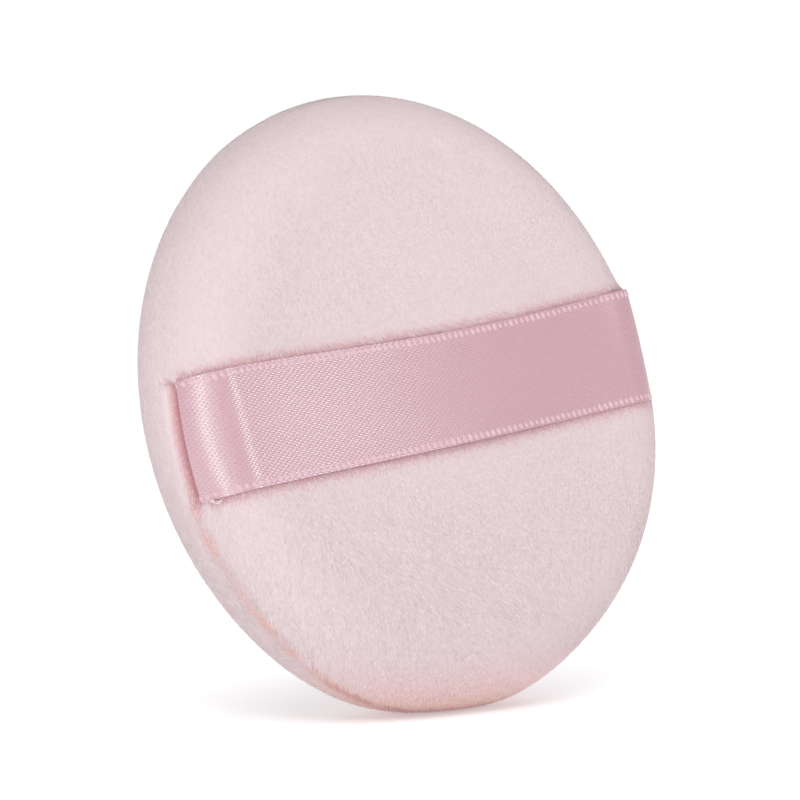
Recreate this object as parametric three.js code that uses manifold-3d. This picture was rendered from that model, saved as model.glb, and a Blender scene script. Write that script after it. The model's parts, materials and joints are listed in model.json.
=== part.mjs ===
// A round velour powder puff with a satin finger ribbon, standing on its rim.
// Units are millimetres and +Z is up. The ribbon side faces -Y.
// The puff is built along its own axis (Z, towards the ribbon side) with the ribbon along X,
// and one group then stands it up.

import * as THREE from 'three';
import { mergeVertices } from 'three/addons/utils/BufferGeometryUtils.js';
import Module from 'manifold-3d';

// Driving dimensions of the cushion
const PUFF_DIAMETER = 80;
const RIM_THICKNESS = 15.6;
const FRONT_CROWN = 0.8;
const BACK_CROWN = 0.6;
const POWDER_FLAT_DIAMETER = 44;
const COVER_WALL = 2.0;

// Driving dimensions of the rim seam
const SEAM_OFFSET = 2.2;
const SEAM_GROOVE_DEPTH = 1.4;
const SEAM_GROOVE_WIDTH = 3.2;
const STITCH_INSET = 2.6;
const SEAM_ALLOWANCE = 3.5;
const ALLOWANCE_THICKNESS = 0.9;
const STITCH_LENGTH = 4.0;
const NEEDLE_STEP = 0.5;
const THREAD_DIAMETER = 0.4;

// Driving dimensions of the hand-closed turning gap
const CLOSING_LENGTH = 36;
const CLOSING_PLACE = THREE.MathUtils.degToRad(-52);
const CLOSING_STITCH = 3.0;
const CLOSING_SINK = 0.75;

// Driving dimensions of the ribbon
const RIBBON_WIDTH = 15;
const RIBBON_THICKNESS = 0.4;
const RIBBON_OFFSET = 0.65;
const RIBBON_STANDOFF = 0.4;
const RIBBON_SINK = 0.55;
const STRAP_END = THREE.MathUtils.degToRad(52);
const TURN_IN = THREE.MathUtils.degToRad(30);
const TURN_DEPTH = 1.2;

// How it stands
const LEAN = THREE.MathUtils.degToRad(14.9);
const ROLL = THREE.MathUtils.degToRad(6.7);
const FOOT_DEPTH = 0.5;

// Gap between pieces that touch on the real object
const CLEARANCE = 0.3;

// Facets
const LATHE_STEPS = 48;
const RIM_STEP = THREE.MathUtils.degToRad(17);
const RIBBON_BEND_STEPS = 4;
const CROWN_STEPS = 3;
const NOSE_STEPS = 3;
const TURN_STEPS = 6;
const RIBBON_STEPS = 16;
const THREAD_SIDES = 5;
const HOLE_SIDES = 5;

// Sizes that follow
const QUARTER = Math.PI / 2;
const rimRadius = RIM_THICKNESS / 2;
const rimCentre = PUFF_DIAMETER / 2 - rimRadius;
const rimAt = (z) => rimCentre + Math.sqrt(rimRadius ** 2 - z ** 2);
const grooveRadius = rimAt(SEAM_OFFSET) - SEAM_GROOVE_DEPTH;
const stitchRadius = grooveRadius - STITCH_INSET;
const rawEdgeRadius = stitchRadius - SEAM_ALLOWANCE;
const threadRadius = THREAD_DIAMETER / 2;
const lipFace = CLEARANCE / 2;
const lipBack = lipFace + ALLOWANCE_THICKNESS;
const threadRun = lipBack + CLEARANCE + threadRadius;
const threadDip = lipFace + threadRadius;
const holeRadius = NEEDLE_STEP + threadRadius + CLEARANCE;

const wasm = await Module();
wasm.setup();

// A three.js geometry as a solid for cutting
function toSolid(geometry) {
  const bare = geometry.clone();
  bare.deleteAttribute('normal');
  bare.deleteAttribute('uv');
  const merged = mergeVertices(bare);
  return new wasm.Manifold(new wasm.Mesh({
    numProp: 3,
    vertProperties: new Float32Array(merged.attributes.position.array),
    triVerts: new Uint32Array(merged.index.array),
  }));
}

// A cut solid as a three.js geometry
function toGeometry(solid) {
  const { vertProperties, triVerts } = solid.getMesh();
  const geometry = new THREE.BufferGeometry();
  geometry.setAttribute('position', new THREE.BufferAttribute(vertProperties, 3));
  geometry.setIndex(new THREE.BufferAttribute(triVerts, 1));
  geometry.computeVertexNormals();
  return geometry;
}

function cut(geometry, cutters) {
  let solid = toSolid(geometry);
  for (const cutter of cutters) {
    solid = solid.subtract(toSolid(cutter));
  }
  return toGeometry(solid);
}

// A profile in radius and height, turned about the puff's axis
function turned(profile) {
  const geometry = new THREE.LatheGeometry(profile, LATHE_STEPS);
  return geometry.rotateX(QUARTER);
}

// Crowned middle of a face, from the axis out to where the rim starts to round.
// The crown falls away smoothly outside a flat middle.
function crownPoints(crown, flatRadius, inset) {
  const points = [];
  if (flatRadius > 0) {
    points.push(new THREE.Vector2(0, rimRadius + crown - inset));
  }
  for (let i = 0; i < CROWN_STEPS; i += 1) {
    const share = i / CROWN_STEPS;
    const radius = flatRadius + (rimCentre - flatRadius) * share;
    const rise = crown * (1 - share ** 2) ** 2;
    points.push(new THREE.Vector2(radius, rimRadius + rise - inset));
  }
  return points;
}

// Round rim from the face down to a height, at a depth below the outer surface
function rimPoints(toHeight, inset) {
  const radius = rimRadius - inset;
  const last = Math.asin(toHeight / radius);
  const steps = Math.ceil((QUARTER - last) / RIM_STEP);
  const points = [];
  for (let i = 0; i <= steps; i += 1) {
    const angle = QUARTER + (last - QUARTER) * (i / steps);
    const out = rimCentre + radius * Math.cos(angle);
    points.push(new THREE.Vector2(out, radius * Math.sin(angle)));
  }
  return points;
}

// Rounded edge of a cover, from the rim into the bottom of the seam groove
function noseCurve(seamHeight) {
  const mouthHeight = seamHeight + SEAM_GROOVE_WIDTH / 2;
  const mouth = new THREE.Vector2(rimAt(mouthHeight), mouthHeight);
  const bottom = new THREE.Vector2(grooveRadius, seamHeight + lipFace);
  const pull = new THREE.Vector2(mouth.x, (mouth.y + bottom.y) / 2);
  return new THREE.QuadraticBezierCurve(mouth, pull, bottom);
}

// Section of one cover: face, rim, groove edge, turned-in allowance, then back along the inside.
// seamHeight is the seam plane's height towards this cover's own face.
function coverProfile(crown, flatRadius, seamHeight) {
  const nose = noseCurve(seamHeight);
  const inside = rimPoints(seamHeight + lipBack, COVER_WALL).reverse();
  const insideFace = crownPoints(crown, flatRadius, COVER_WALL).reverse();
  return [
    ...crownPoints(crown, flatRadius, 0),
    ...rimPoints(nose.v0.y, 0),
    ...nose.getPoints(NOSE_STEPS).slice(1),
    new THREE.Vector2(rawEdgeRadius, seamHeight + lipFace),
    new THREE.Vector2(rawEdgeRadius, seamHeight + lipBack),
    ...inside,
    ...insideFace,
  ];
}

// The same section for the side that faces -Z
function facingBack(profile) {
  return profile.map((point) => new THREE.Vector2(point.x, -point.y)).reverse();
}

// Angles of the needle holes, all round except the turning gap
const closingArc = CLOSING_LENGTH / stitchRadius;
const seamArc = 2 * Math.PI - closingArc;
const seamStart = CLOSING_PLACE + closingArc / 2;
const stitchCount = Math.round((seamArc * stitchRadius) / STITCH_LENGTH);
const stitchAngle = (index) => seamStart + (seamArc * index) / stitchCount;

function onRing(radius, angle, height) {
  return new THREE.Vector3(radius * Math.cos(angle), radius * Math.sin(angle), height);
}

// Cutters for the needle holes, tall enough for both allowances
function needleHoles() {
  const height = 2 * (lipBack + CLEARANCE);
  const cutters = [];
  for (let i = 0; i <= stitchCount; i += 1) {
    const place = onRing(stitchRadius, stitchAngle(i), SEAM_OFFSET);
    const hole = new THREE.CylinderGeometry(holeRadius, holeRadius, height, HOLE_SIDES);
    cutters.push(hole.rotateX(QUARTER).rotateZ(stitchAngle(i)).translate(place.x, place.y, place.z));
  }
  return cutters;
}

// Turn that takes the puff from its own axis to how it stands
const standing = new THREE.Matrix4().makeRotationFromEuler(new THREE.Euler(QUARTER - LEAN, 0, ROLL));
const axisHeight = rimCentre * Math.cos(LEAN) + rimRadius - FOOT_DEPTH;

// Everything below the surface that the rim is pressed flat against
function floorCutter() {
  const size = PUFF_DIAMETER;
  const below = new THREE.BoxGeometry(size, size, size).translate(0, 0, -axisHeight - size / 2);
  return below.applyMatrix4(standing.clone().invert());
}

// Foam disc that fills the covers, with a notch round its rim for the allowances and the stitching
function foamCore() {
  const inset = COVER_WALL + CLEARANCE;
  const notch = threadRun + threadRadius + CLEARANCE;
  const notchRadius = rawEdgeRadius - CLEARANCE;
  const front = [
    ...crownPoints(FRONT_CROWN, 0, inset),
    ...rimPoints(SEAM_OFFSET + notch, inset),
    new THREE.Vector2(notchRadius, SEAM_OFFSET + notch),
  ];
  const back = facingBack([
    ...crownPoints(BACK_CROWN, POWDER_FLAT_DIAMETER / 2, inset),
    ...rimPoints(notch - SEAM_OFFSET, inset),
    new THREE.Vector2(notchRadius, notch - SEAM_OFFSET),
  ]);
  return turned([...front, ...back].reverse());
}

// Thread that runs beside an allowance and dips into each needle hole.
// It steps evenly through its bends, three to a stitch.
class SeamThread extends THREE.Curve {
  constructor(side) {
    super();
    this.side = side;
    this.steps = 3 * stitchCount;
  }

  bend(index) {
    const stitch = Math.round(index / 3);
    const lead = index - 3 * stitch;
    const angle = stitchAngle(stitch) + (lead * NEEDLE_STEP) / stitchRadius;
    const away = lead === 0 ? threadDip : threadRun;
    return onRing(stitchRadius, angle, SEAM_OFFSET + this.side * away);
  }

  getPoint(t) {
    const index = Math.min(Math.floor(t * this.steps), this.steps - 1);
    return this.bend(index).lerp(this.bend(index + 1), t * this.steps - index);
  }

  getUtoTmapping(u) {
    return u;
  }
}

// Height of a cover's edge above the seam plane, where the groove has a given radius
function edgeAbove(nose, seamHeight, radius) {
  const share = Math.sqrt((nose.v0.x - radius) / (nose.v0.x - nose.v2.x));
  return nose.getPoint(share).y - seamHeight;
}

// Ladder stitch across the groove, which draws the turning gap shut
class ClosingThread extends THREE.Curve {
  constructor() {
    super();
    this.radius = rimAt(SEAM_OFFSET) - CLOSING_SINK;
    this.arc = CLOSING_LENGTH / this.radius;
    this.steps = 2 * Math.round(CLOSING_LENGTH / CLOSING_STITCH);
    const frontRoom = edgeAbove(noseCurve(SEAM_OFFSET), SEAM_OFFSET, this.radius);
    const backRoom = edgeAbove(noseCurve(-SEAM_OFFSET), -SEAM_OFFSET, this.radius);
    this.swing = Math.min(frontRoom, backRoom) - threadRadius - CLEARANCE;
  }

  getPoint(t) {
    const angle = CLOSING_PLACE + this.arc * (t - 0.5);
    const height = this.swing * Math.sin((Math.PI * this.steps * t) / 2 + QUARTER / 2);
    return onRing(this.radius, angle, SEAM_OFFSET + height);
  }
}

function threadAlong(path, steps) {
  const section = new THREE.Shape();
  for (let i = 0; i < THREAD_SIDES; i += 1) {
    const angle = (2 * Math.PI * i) / THREAD_SIDES;
    const x = threadRadius * Math.cos(angle);
    const y = threadRadius * Math.sin(angle);
    if (i === 0) section.moveTo(x, y);
    else section.lineTo(x, y);
  }
  return new THREE.ExtrudeGeometry(section, { steps, extrudePath: path });
}

// Ribbon, drawn from the side as a line in X and Z, with its width and half its thickness
function ribbonAlong(points, side, width, half) {
  const normals = points.map((point, i) => {
    const before = points[Math.max(i - 1, 0)];
    const after = points[Math.min(i + 1, points.length - 1)];
    const along = after.clone().sub(before).normalize();
    return new THREE.Vector2(-along.y, along.x);
  });
  const upper = points.map((point, i) => point.clone().addScaledVector(normals[i], half));
  const lower = points.map((point, i) => point.clone().addScaledVector(normals[i], -half));
  const outline = new THREE.Shape([...upper, ...lower.reverse()]);
  const strip = new THREE.ExtrudeGeometry(outline, { depth: width, bevelEnabled: false });
  strip.translate(0, 0, -width / 2).rotateX(QUARTER);
  return strip.rotateZ(side > 0 ? 0 : Math.PI).translate(0, RIBBON_OFFSET, 0);
}

const halfRibbon = RIBBON_THICKNESS / 2;
const ribbonRadius = rimRadius + RIBBON_STANDOFF + halfRibbon;

// The ribbon's line round the front rim, where its pull presses it into the pile
function ribbonOnRim(angle) {
  const slack = THREE.MathUtils.smoothstep(angle, TURN_IN, QUARTER);
  const radius = ribbonRadius - (RIBBON_STANDOFF + RIBBON_SINK) * (1 - slack);
  return new THREE.Vector2(rimCentre + radius * Math.cos(angle), radius * Math.sin(angle));
}

function rimLine(from, to) {
  const points = [];
  for (let i = 0; i < RIBBON_BEND_STEPS; i += 1) {
    points.push(ribbonOnRim(from + (to - from) * (i / RIBBON_BEND_STEPS)));
  }
  return points;
}

// Free span of the ribbon: round the front rim and over the crown, from side to side
function strapPoints() {
  const half = rimLine(STRAP_END, QUARTER);
  for (let i = 0; i < RIBBON_STEPS / 2; i += 1) {
    const share = 1 - (2 * i) / RIBBON_STEPS;
    const rise = FRONT_CROWN * (1 - share ** 2) ** 2;
    half.push(new THREE.Vector2(rimCentre * share, ribbonRadius + rise));
  }
  const top = new THREE.Vector2(0, ribbonRadius + FRONT_CROWN);
  const mirrored = half.map((point) => new THREE.Vector2(-point.x, point.y));
  return [...mirrored, top, ...half.reverse()];
}

// Sewn end of the ribbon: down the rim, round the cover's edge and in between the allowances
function tailPoints(first) {
  const start = ribbonOnRim(TURN_IN);
  const drop = (start.y - SEAM_OFFSET) * Math.tan(TURN_IN);
  const corner = new THREE.Vector2(start.x + drop, SEAM_OFFSET);
  const inside = new THREE.Vector2(grooveRadius - TURN_DEPTH, SEAM_OFFSET);
  const turn = new THREE.QuadraticBezierCurve(start, corner, inside);
  const end = new THREE.Vector2(rawEdgeRadius, SEAM_OFFSET);
  return [...rimLine(first, TURN_IN), ...turn.getPoints(TURN_STEPS), end];
}

function ribbonStrap() {
  return ribbonAlong(strapPoints(), 1, RIBBON_WIDTH, halfRibbon);
}

function ribbonTail(side) {
  const points = tailPoints(STRAP_END - CLEARANCE / ribbonRadius);
  return cut(ribbonAlong(points, side, RIBBON_WIDTH, halfRibbon), holes);
}

// Cutter for the channel that the ribbon presses into the pile, and the slot for its end
function ribbonRoom(side) {
  const reach = halfRibbon + CLEARANCE;
  const past = new THREE.Vector2(rawEdgeRadius - CLEARANCE, SEAM_OFFSET);
  return ribbonAlong([...tailPoints(QUARTER), past], side, RIBBON_WIDTH + 2 * CLEARANCE, reach);
}

const holes = needleHoles();
const rooms = [ribbonRoom(1), ribbonRoom(-1)];

// Covers
function frontCover() {
  return cut(turned(coverProfile(FRONT_CROWN, 0, SEAM_OFFSET).reverse()), [...holes, ...rooms]);
}

function backCover() {
  const profile = coverProfile(BACK_CROWN, POWDER_FLAT_DIAMETER / 2, -SEAM_OFFSET);
  return cut(turned(facingBack(profile).reverse()), [...holes, ...rooms, floorCutter()]);
}

// Finishes
const velour = (color) => new THREE.MeshStandardMaterial({ color, roughness: 0.95, metalness: 0 });
const satin = () => new THREE.MeshStandardMaterial({ color: 0xdbb6be, roughness: 0.38, metalness: 0 });
const foam = () => new THREE.MeshStandardMaterial({ color: 0xf3ece4, roughness: 1, metalness: 0 });
const cotton = () => new THREE.MeshStandardMaterial({ color: 0xeed3d4, roughness: 0.7, metalness: 0 });

function piece(name, geometry, material) {
  const mesh = new THREE.Mesh(geometry, material);
  mesh.name = name;
  return mesh;
}

const needleThread = new SeamThread(1);
const bobbinThread = new SeamThread(-1);
const closingThread = new ClosingThread();

const puff = new THREE.Group();
puff.add(
  piece('front_cover', frontCover(), velour(0xebd7d9)),
  piece('back_cover', backCover(), velour(0xe6cfd1)),
  piece('foam_core', foamCore(), foam()),
  piece('ribbon_strap', ribbonStrap(), satin()),
  piece('ribbon_tail_right', ribbonTail(1), satin()),
  piece('ribbon_tail_left', ribbonTail(-1), satin()),
  piece('seam_needle_thread', threadAlong(needleThread, needleThread.steps), cotton()),
  piece('seam_bobbin_thread', threadAlong(bobbinThread, bobbinThread.steps), cotton()),
  piece('closing_thread', threadAlong(closingThread, closingThread.steps), cotton()),
);
puff.setRotationFromMatrix(standing);

// The origin is on the floor, under the middle of the standing puff
const extent = new THREE.Box3().setFromObject(puff, true);
const middle = extent.getCenter(new THREE.Vector3());
puff.position.set(-middle.x, -middle.y, -extent.min.z);

const powderPuff = new THREE.Group();
powderPuff.add(puff);

export default powderPuff;
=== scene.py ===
"""A round velour powder puff with a satin finger ribbon, standing on its rim.

Shapes are worked out in the puff's own millimetres: X runs along the ribbon, Y across it, and Z points
out of the ribbon side. The stance then puts them into the row frame, in metres.
"""

import json
import logging
import math
from dataclasses import asdict, dataclass
from enum import Enum
from typing import Sequence

import bpy
import numpy as np
from bpy.types import Material, Mesh, Node, NodeTree, Object
from bpy.types import NodeSocket as Socket
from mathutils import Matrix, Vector


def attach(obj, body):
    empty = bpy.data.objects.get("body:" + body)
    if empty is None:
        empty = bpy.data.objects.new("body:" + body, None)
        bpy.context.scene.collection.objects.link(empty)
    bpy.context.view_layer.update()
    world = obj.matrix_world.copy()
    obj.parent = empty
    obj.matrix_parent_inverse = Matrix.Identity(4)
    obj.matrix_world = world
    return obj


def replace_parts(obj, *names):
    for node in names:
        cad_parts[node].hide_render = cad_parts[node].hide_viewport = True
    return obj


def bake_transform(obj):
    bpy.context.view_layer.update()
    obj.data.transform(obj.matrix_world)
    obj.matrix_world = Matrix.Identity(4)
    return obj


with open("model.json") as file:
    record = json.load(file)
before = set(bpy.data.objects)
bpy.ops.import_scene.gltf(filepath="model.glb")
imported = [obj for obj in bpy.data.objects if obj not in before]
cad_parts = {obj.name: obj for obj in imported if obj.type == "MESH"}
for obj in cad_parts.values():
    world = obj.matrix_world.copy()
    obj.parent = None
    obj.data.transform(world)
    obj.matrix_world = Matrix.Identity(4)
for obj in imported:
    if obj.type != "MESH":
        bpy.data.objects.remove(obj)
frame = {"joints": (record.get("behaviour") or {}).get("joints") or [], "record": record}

LOG = logging.getLogger("powder_puff")
MM = 0.001
QUARTER = math.pi / 2
FULL_TURN = 2 * math.pi
# Each ring of the bag's mesh has this many points more than the ring inside it.
SECTORS = 6
# Millimetres of ribbon on the weave map's unit square.
WEAVE_SPAN = 100.0

Array = np.ndarray
Triple = tuple[float, float, float]
Colour = tuple[float, float, float, float]
# Weight, roughness and tint of the fibres' bloom.
Sheen = tuple[float, float, Colour]
Triangles = list[tuple[int, int, int]]


class Side(Enum):
    """The two covers, by the way they face along the puff's axis."""

    FRONT = 1
    BACK = -1


class Zone(Enum):
    """The parts of a cover that carry a piece of pile each."""

    FACE_UPPER = 0
    FACE_LOWER = 1
    RIM_UPPER = 2
    RIM_LOWER = 3


class RibbonEnd(Enum):
    """The two halves of the ribbon, by the way they run from its middle."""

    LEFT = -1
    RIGHT = 1


def label(option: Enum) -> str:
    """An option's name as it stands in the names of pieces."""
    return option.name.lower()


def srgb(red: float, green: float, blue: float) -> Colour:
    """A display colour with channels from 0 to 255, as a linear colour with full alpha."""
    shares = [channel / 255 for channel in (red, green, blue)]
    linear = [s / 12.92 if s <= 0.04045 else ((s + 0.055) / 1.055) ** 2.4 for s in shares]
    return (*linear, 1.0)


def smooth(value: Array | float, low: float, high: float) -> Array:
    """A smooth step from 0 at low to 1 at high, which may be below low."""
    share = np.clip((np.asarray(value, float) - low) / (high - low), 0.0, 1.0)
    return share * share * (3 - 2 * share)


def hill(value: Array, middle: float, spread: float) -> Array:
    """A bell curve of height 1; spread is the square of its reach."""
    return np.exp(-((value - middle) ** 2) / spread)


def unit(vectors: Array) -> Array:
    """Rows scaled to length 1."""
    return vectors / np.maximum(np.linalg.norm(vectors, axis=-1, keepdims=True), 1e-12)


def polar(points: Array) -> tuple[Array, Array]:
    """Distance of points from the puff's axis, and their angle about it."""
    return np.hypot(points[:, 0], points[:, 1]), np.arctan2(points[:, 1], points[:, 0])


def about_axis(radius: Array | float, angle: Array, height: Array) -> Array:
    """Points at a distance from the puff's axis, an angle about it and a height along it."""
    return np.stack([radius * np.cos(angle), radius * np.sin(angle), height], 1)


@dataclass(frozen=True)
class Stance:
    """How the puff stands in the row frame.

    Attributes:
        centre: middle of the rim's circle, in metres.
        axes: rows are the puff's X, Y and Z in the row frame.
    """

    centre: Array
    axes: Array

    @classmethod
    def from_frame(cls, depth: float, roll: float) -> "Stance":
        """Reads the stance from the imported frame.

        Args:
            depth: distance from the powder face to the rim's middle plane, in millimetres.
            roll: turn of the ribbon about the puff's axis, in radians.

        Returns:
            The stance.
        """
        out = Vector(frame["joints"][0]["axis"]).normalized()
        level = Vector((1, 0, 0))
        rise = out.cross(level)
        across = level * math.cos(roll) + rise * math.sin(roll)
        up = rise * math.cos(roll) - level * math.sin(roll)
        centre = Vector(frame["record"]["mounts"][0]["pos_m"]) + out * depth * MM
        return cls(np.array(centre), np.array([across, up, out]))

    def place(self, points: Array) -> Array:
        """Points in the puff's millimetres, in the row frame in metres."""
        return self.centre + points @ self.axes * MM

    def heights(self, points: Array) -> Array:
        """Heights above the floor of points in the puff's millimetres, in millimetres."""
        return self.place(points)[:, 2] / MM

    def spot(self, x: float, y: float, z: float) -> Triple:
        """One point of the puff in the row frame, in metres."""
        return tuple(self.place(np.array([[x, y, z]]))[0])


def new_mesh(name: str, points: Array, faces: Sequence = (), edges: Sequence = ()) -> Mesh:
    """A mesh from points, faces and loose edges, smooth all over."""
    mesh = bpy.data.meshes.new(name)
    mesh.from_pydata(points.tolist(), edges, faces)
    mesh.polygons.foreach_set("use_smooth", np.ones(len(mesh.polygons), bool))
    mesh.update()
    return mesh


def chain(count: int, start: int = 0) -> list[tuple[int, int]]:
    """Edges of an open line through count points that are numbered from start."""
    return [(start + i, start + i + 1) for i in range(count - 1)]


def gather(items: Sequence, name: str, width: int = 3, kind: type = np.float32) -> Array:
    """One number, or one row of numbers, for each item of a mesh's list."""
    flat = np.empty(len(items) * width, kind)
    items.foreach_get(name, flat)
    return flat.reshape(-1, width) if width > 1 else flat


def positions(mesh: Mesh) -> Array:
    """A mesh's vertices, one row each."""
    return gather(mesh.vertices, "co", kind=np.float64)


def move_to(mesh: Mesh, points: Array) -> None:
    """Gives a mesh's vertices new places."""
    mesh.vertices.foreach_set("co", points.astype(np.float32).ravel())
    mesh.update()


def write_field(mesh: Mesh, name: str, values: Array, domain: str = "POINT") -> None:
    """Stores one number, or one row of three, for each vertex or face."""
    kind, item = ("FLOAT_VECTOR", "vector") if values.ndim == 2 else ("FLOAT", "value")
    field = mesh.attributes.new(name, kind, domain)
    field.data.foreach_set(item, values.astype(np.float32).ravel())


def add_object(name: str, mesh: Mesh) -> Object:
    """A new object at the origin, in the scene."""
    made = bpy.data.objects.new(name, mesh)
    bpy.context.scene.collection.objects.link(made)
    return made


def baked(scratch: Object) -> Mesh:
    """A plain mesh of an object with its modifiers done; the object and its own mesh are used up."""
    graph = bpy.context.evaluated_depsgraph_get()
    made = bpy.data.meshes.new_from_object(scratch.evaluated_get(graph), depsgraph=graph)
    name, mesh = scratch.name, scratch.data
    bpy.data.objects.remove(scratch)
    bpy.data.meshes.remove(mesh)
    made.name = name
    return made


def carry(piece: Object) -> None:
    """Puts a piece on the cushion's body and reports it."""
    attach(piece, "cushion")
    LOG.info("%s: %d faces", piece.name, len(piece.data.polygons))


class Nodes:
    """Adds nodes to one tree and links them."""

    def __init__(self, tree: NodeTree) -> None:
        """Works on the given tree."""
        self.tree = tree

    def add(self, kind: str, inputs: dict | None = None, **settings: object) -> Node:
        """Adds a node.

        Args:
            kind: the node's type name.
            inputs: values or sockets for the node's inputs, by name or number.
            **settings: the node's own properties.

        Returns:
            The new node.
        """
        node = self.tree.nodes.new(kind)
        for name, value in settings.items():
            setattr(node, name, value)
        for key, value in (inputs or {}).items():
            self.feed(node.inputs[key], value)
        return node

    def out(self, kind: str, inputs: dict | None = None, give: int | str = 0, **settings: object) -> Socket:
        """One output of a new node, by its name or number."""
        return self.add(kind, inputs, **settings).outputs[give]

    def feed(self, socket: Socket, value: object) -> None:
        """Links a socket to an input, or sets the input's value."""
        if isinstance(value, Socket):
            self.tree.links.new(value, socket)
        else:
            socket.default_value = value

    def math(self, operation: str, *values: object) -> Socket:
        """The result of a Math node on the given values or sockets."""
        return self.out("ShaderNodeMath", dict(enumerate(values)), operation=operation)

    def vector(self, operation: str, *values: object) -> Socket:
        """The vector result of a Vector Math node on the given values or sockets."""
        return self.out("ShaderNodeVectorMath", dict(enumerate(values)), operation=operation)

    def scaled(self, vector: Socket, by: object) -> Socket:
        """A vector times a number."""
        return self.out("ShaderNodeVectorMath", {0: vector, "Scale": by}, operation="SCALE")

    def joined(self, x: object = 0.0, y: object = 0.0, z: object = 0.0) -> Socket:
        """A vector from three numbers."""
        return self.out("ShaderNodeCombineXYZ", {0: x, 1: y, 2: z})

    def mix(self, share: object, low: object, high: object) -> Socket:
        """A colour between two colours, by a share."""
        return self.out("ShaderNodeMix", {0: share, 6: low, 7: high}, 2, data_type="RGBA")

    def between(self, share: object, low: object, high: object) -> Socket:
        """A number between two numbers, by a share."""
        return self.out("ShaderNodeMix", {0: share, 2: low, 3: high}, data_type="FLOAT")

    def noise(self, place: Socket, scale: object, detail: float) -> Node:
        """A noise texture at a place."""
        return self.add("ShaderNodeTexNoise", {"Vector": place, "Scale": scale, "Detail": detail})

    def field(self, name: str, kind: str = "FLOAT") -> Socket:
        """A stored field by its name, in a geometry tree."""
        return self.out("GeometryNodeInputNamedAttribute", {"Name": name}, data_type=kind)

    def aligned(self, axis: str, vector: Socket, start: object = (0, 0, 0), pivot: str = "AUTO") -> Socket:
        """A rotation, turned about a pivot axis so that an axis follows a vector."""
        inputs = {"Rotation": start, "Vector": vector}
        return self.out("FunctionNodeAlignRotationToVector", inputs, axis=axis, pivot_axis=pivot)

    def resampled(self, mesh: Socket, step: Socket) -> Socket:
        """A mesh line as a curve with even steps."""
        line = self.out("GeometryNodeMeshToCurve", {"Mesh": mesh})
        return self.out("GeometryNodeResampleCurve", {"Curve": line, "Length": step}, mode="LENGTH")

    def realized(self, made: Socket) -> Socket:
        """Instances as plain smooth faces."""
        made = self.out("GeometryNodeRealizeInstances", {"Geometry": made})
        return self.out("GeometryNodeSetShadeSmooth", {"Geometry": made, "Shade Smooth": True})

    def painted(self, made: Socket, material: Socket, chosen: object = True) -> Socket:
        """Faces with a material, all or the chosen ones."""
        inputs = {"Geometry": made, "Material": material, "Selection": chosen}
        return self.out("GeometryNodeSetMaterial", inputs)


def new_tree(name: str, kind: str, takes: dict, gives: dict) -> tuple[Nodes, dict[str, Socket], Node]:
    """An empty node tree with named inputs and outputs.

    Args:
        name: the tree's name.
        kind: "Shader" or "Geometry".
        takes: for each kind of socket, the names of the inputs with commas between them.
        gives: the same for the outputs.

    Returns:
        The tree's builder, its input sockets by name, and its output node.
    """
    tree = bpy.data.node_groups.new(name, f"{kind}NodeTree")
    for way, sockets in (("INPUT", takes), ("OUTPUT", gives)):
        for socket, names in sockets.items():
            for title in names.split(", "):
                tree.interface.new_socket(name=title, in_out=way, socket_type=f"NodeSocket{socket}")
    nodes = Nodes(tree)
    start, end = nodes.add("NodeGroupInput"), nodes.add("NodeGroupOutput")
    return nodes, {socket.name: socket for socket in start.outputs if socket.name}, end


def grow(name: str, mesh: Mesh, tree: NodeTree, values: dict) -> Mesh:
    """Runs a geometry tree on a mesh.

    Args:
        name: name of the new mesh.
        mesh: what the tree starts from; it is used up.
        tree: the geometry tree.
        values: the tree's inputs by name.

    Returns:
        The tree's result as a plain mesh.
    """
    scratch = bpy.data.objects.new(name, mesh)
    modifier = scratch.modifiers.new(name, "NODES")
    modifier.node_group = tree
    for item in tree.interface.items_tree:
        if item.in_out == "INPUT" and item.name in values:
            modifier[item.identifier] = values[item.name]
    bpy.context.scene.collection.objects.link(scratch)
    return baked(scratch)


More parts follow.
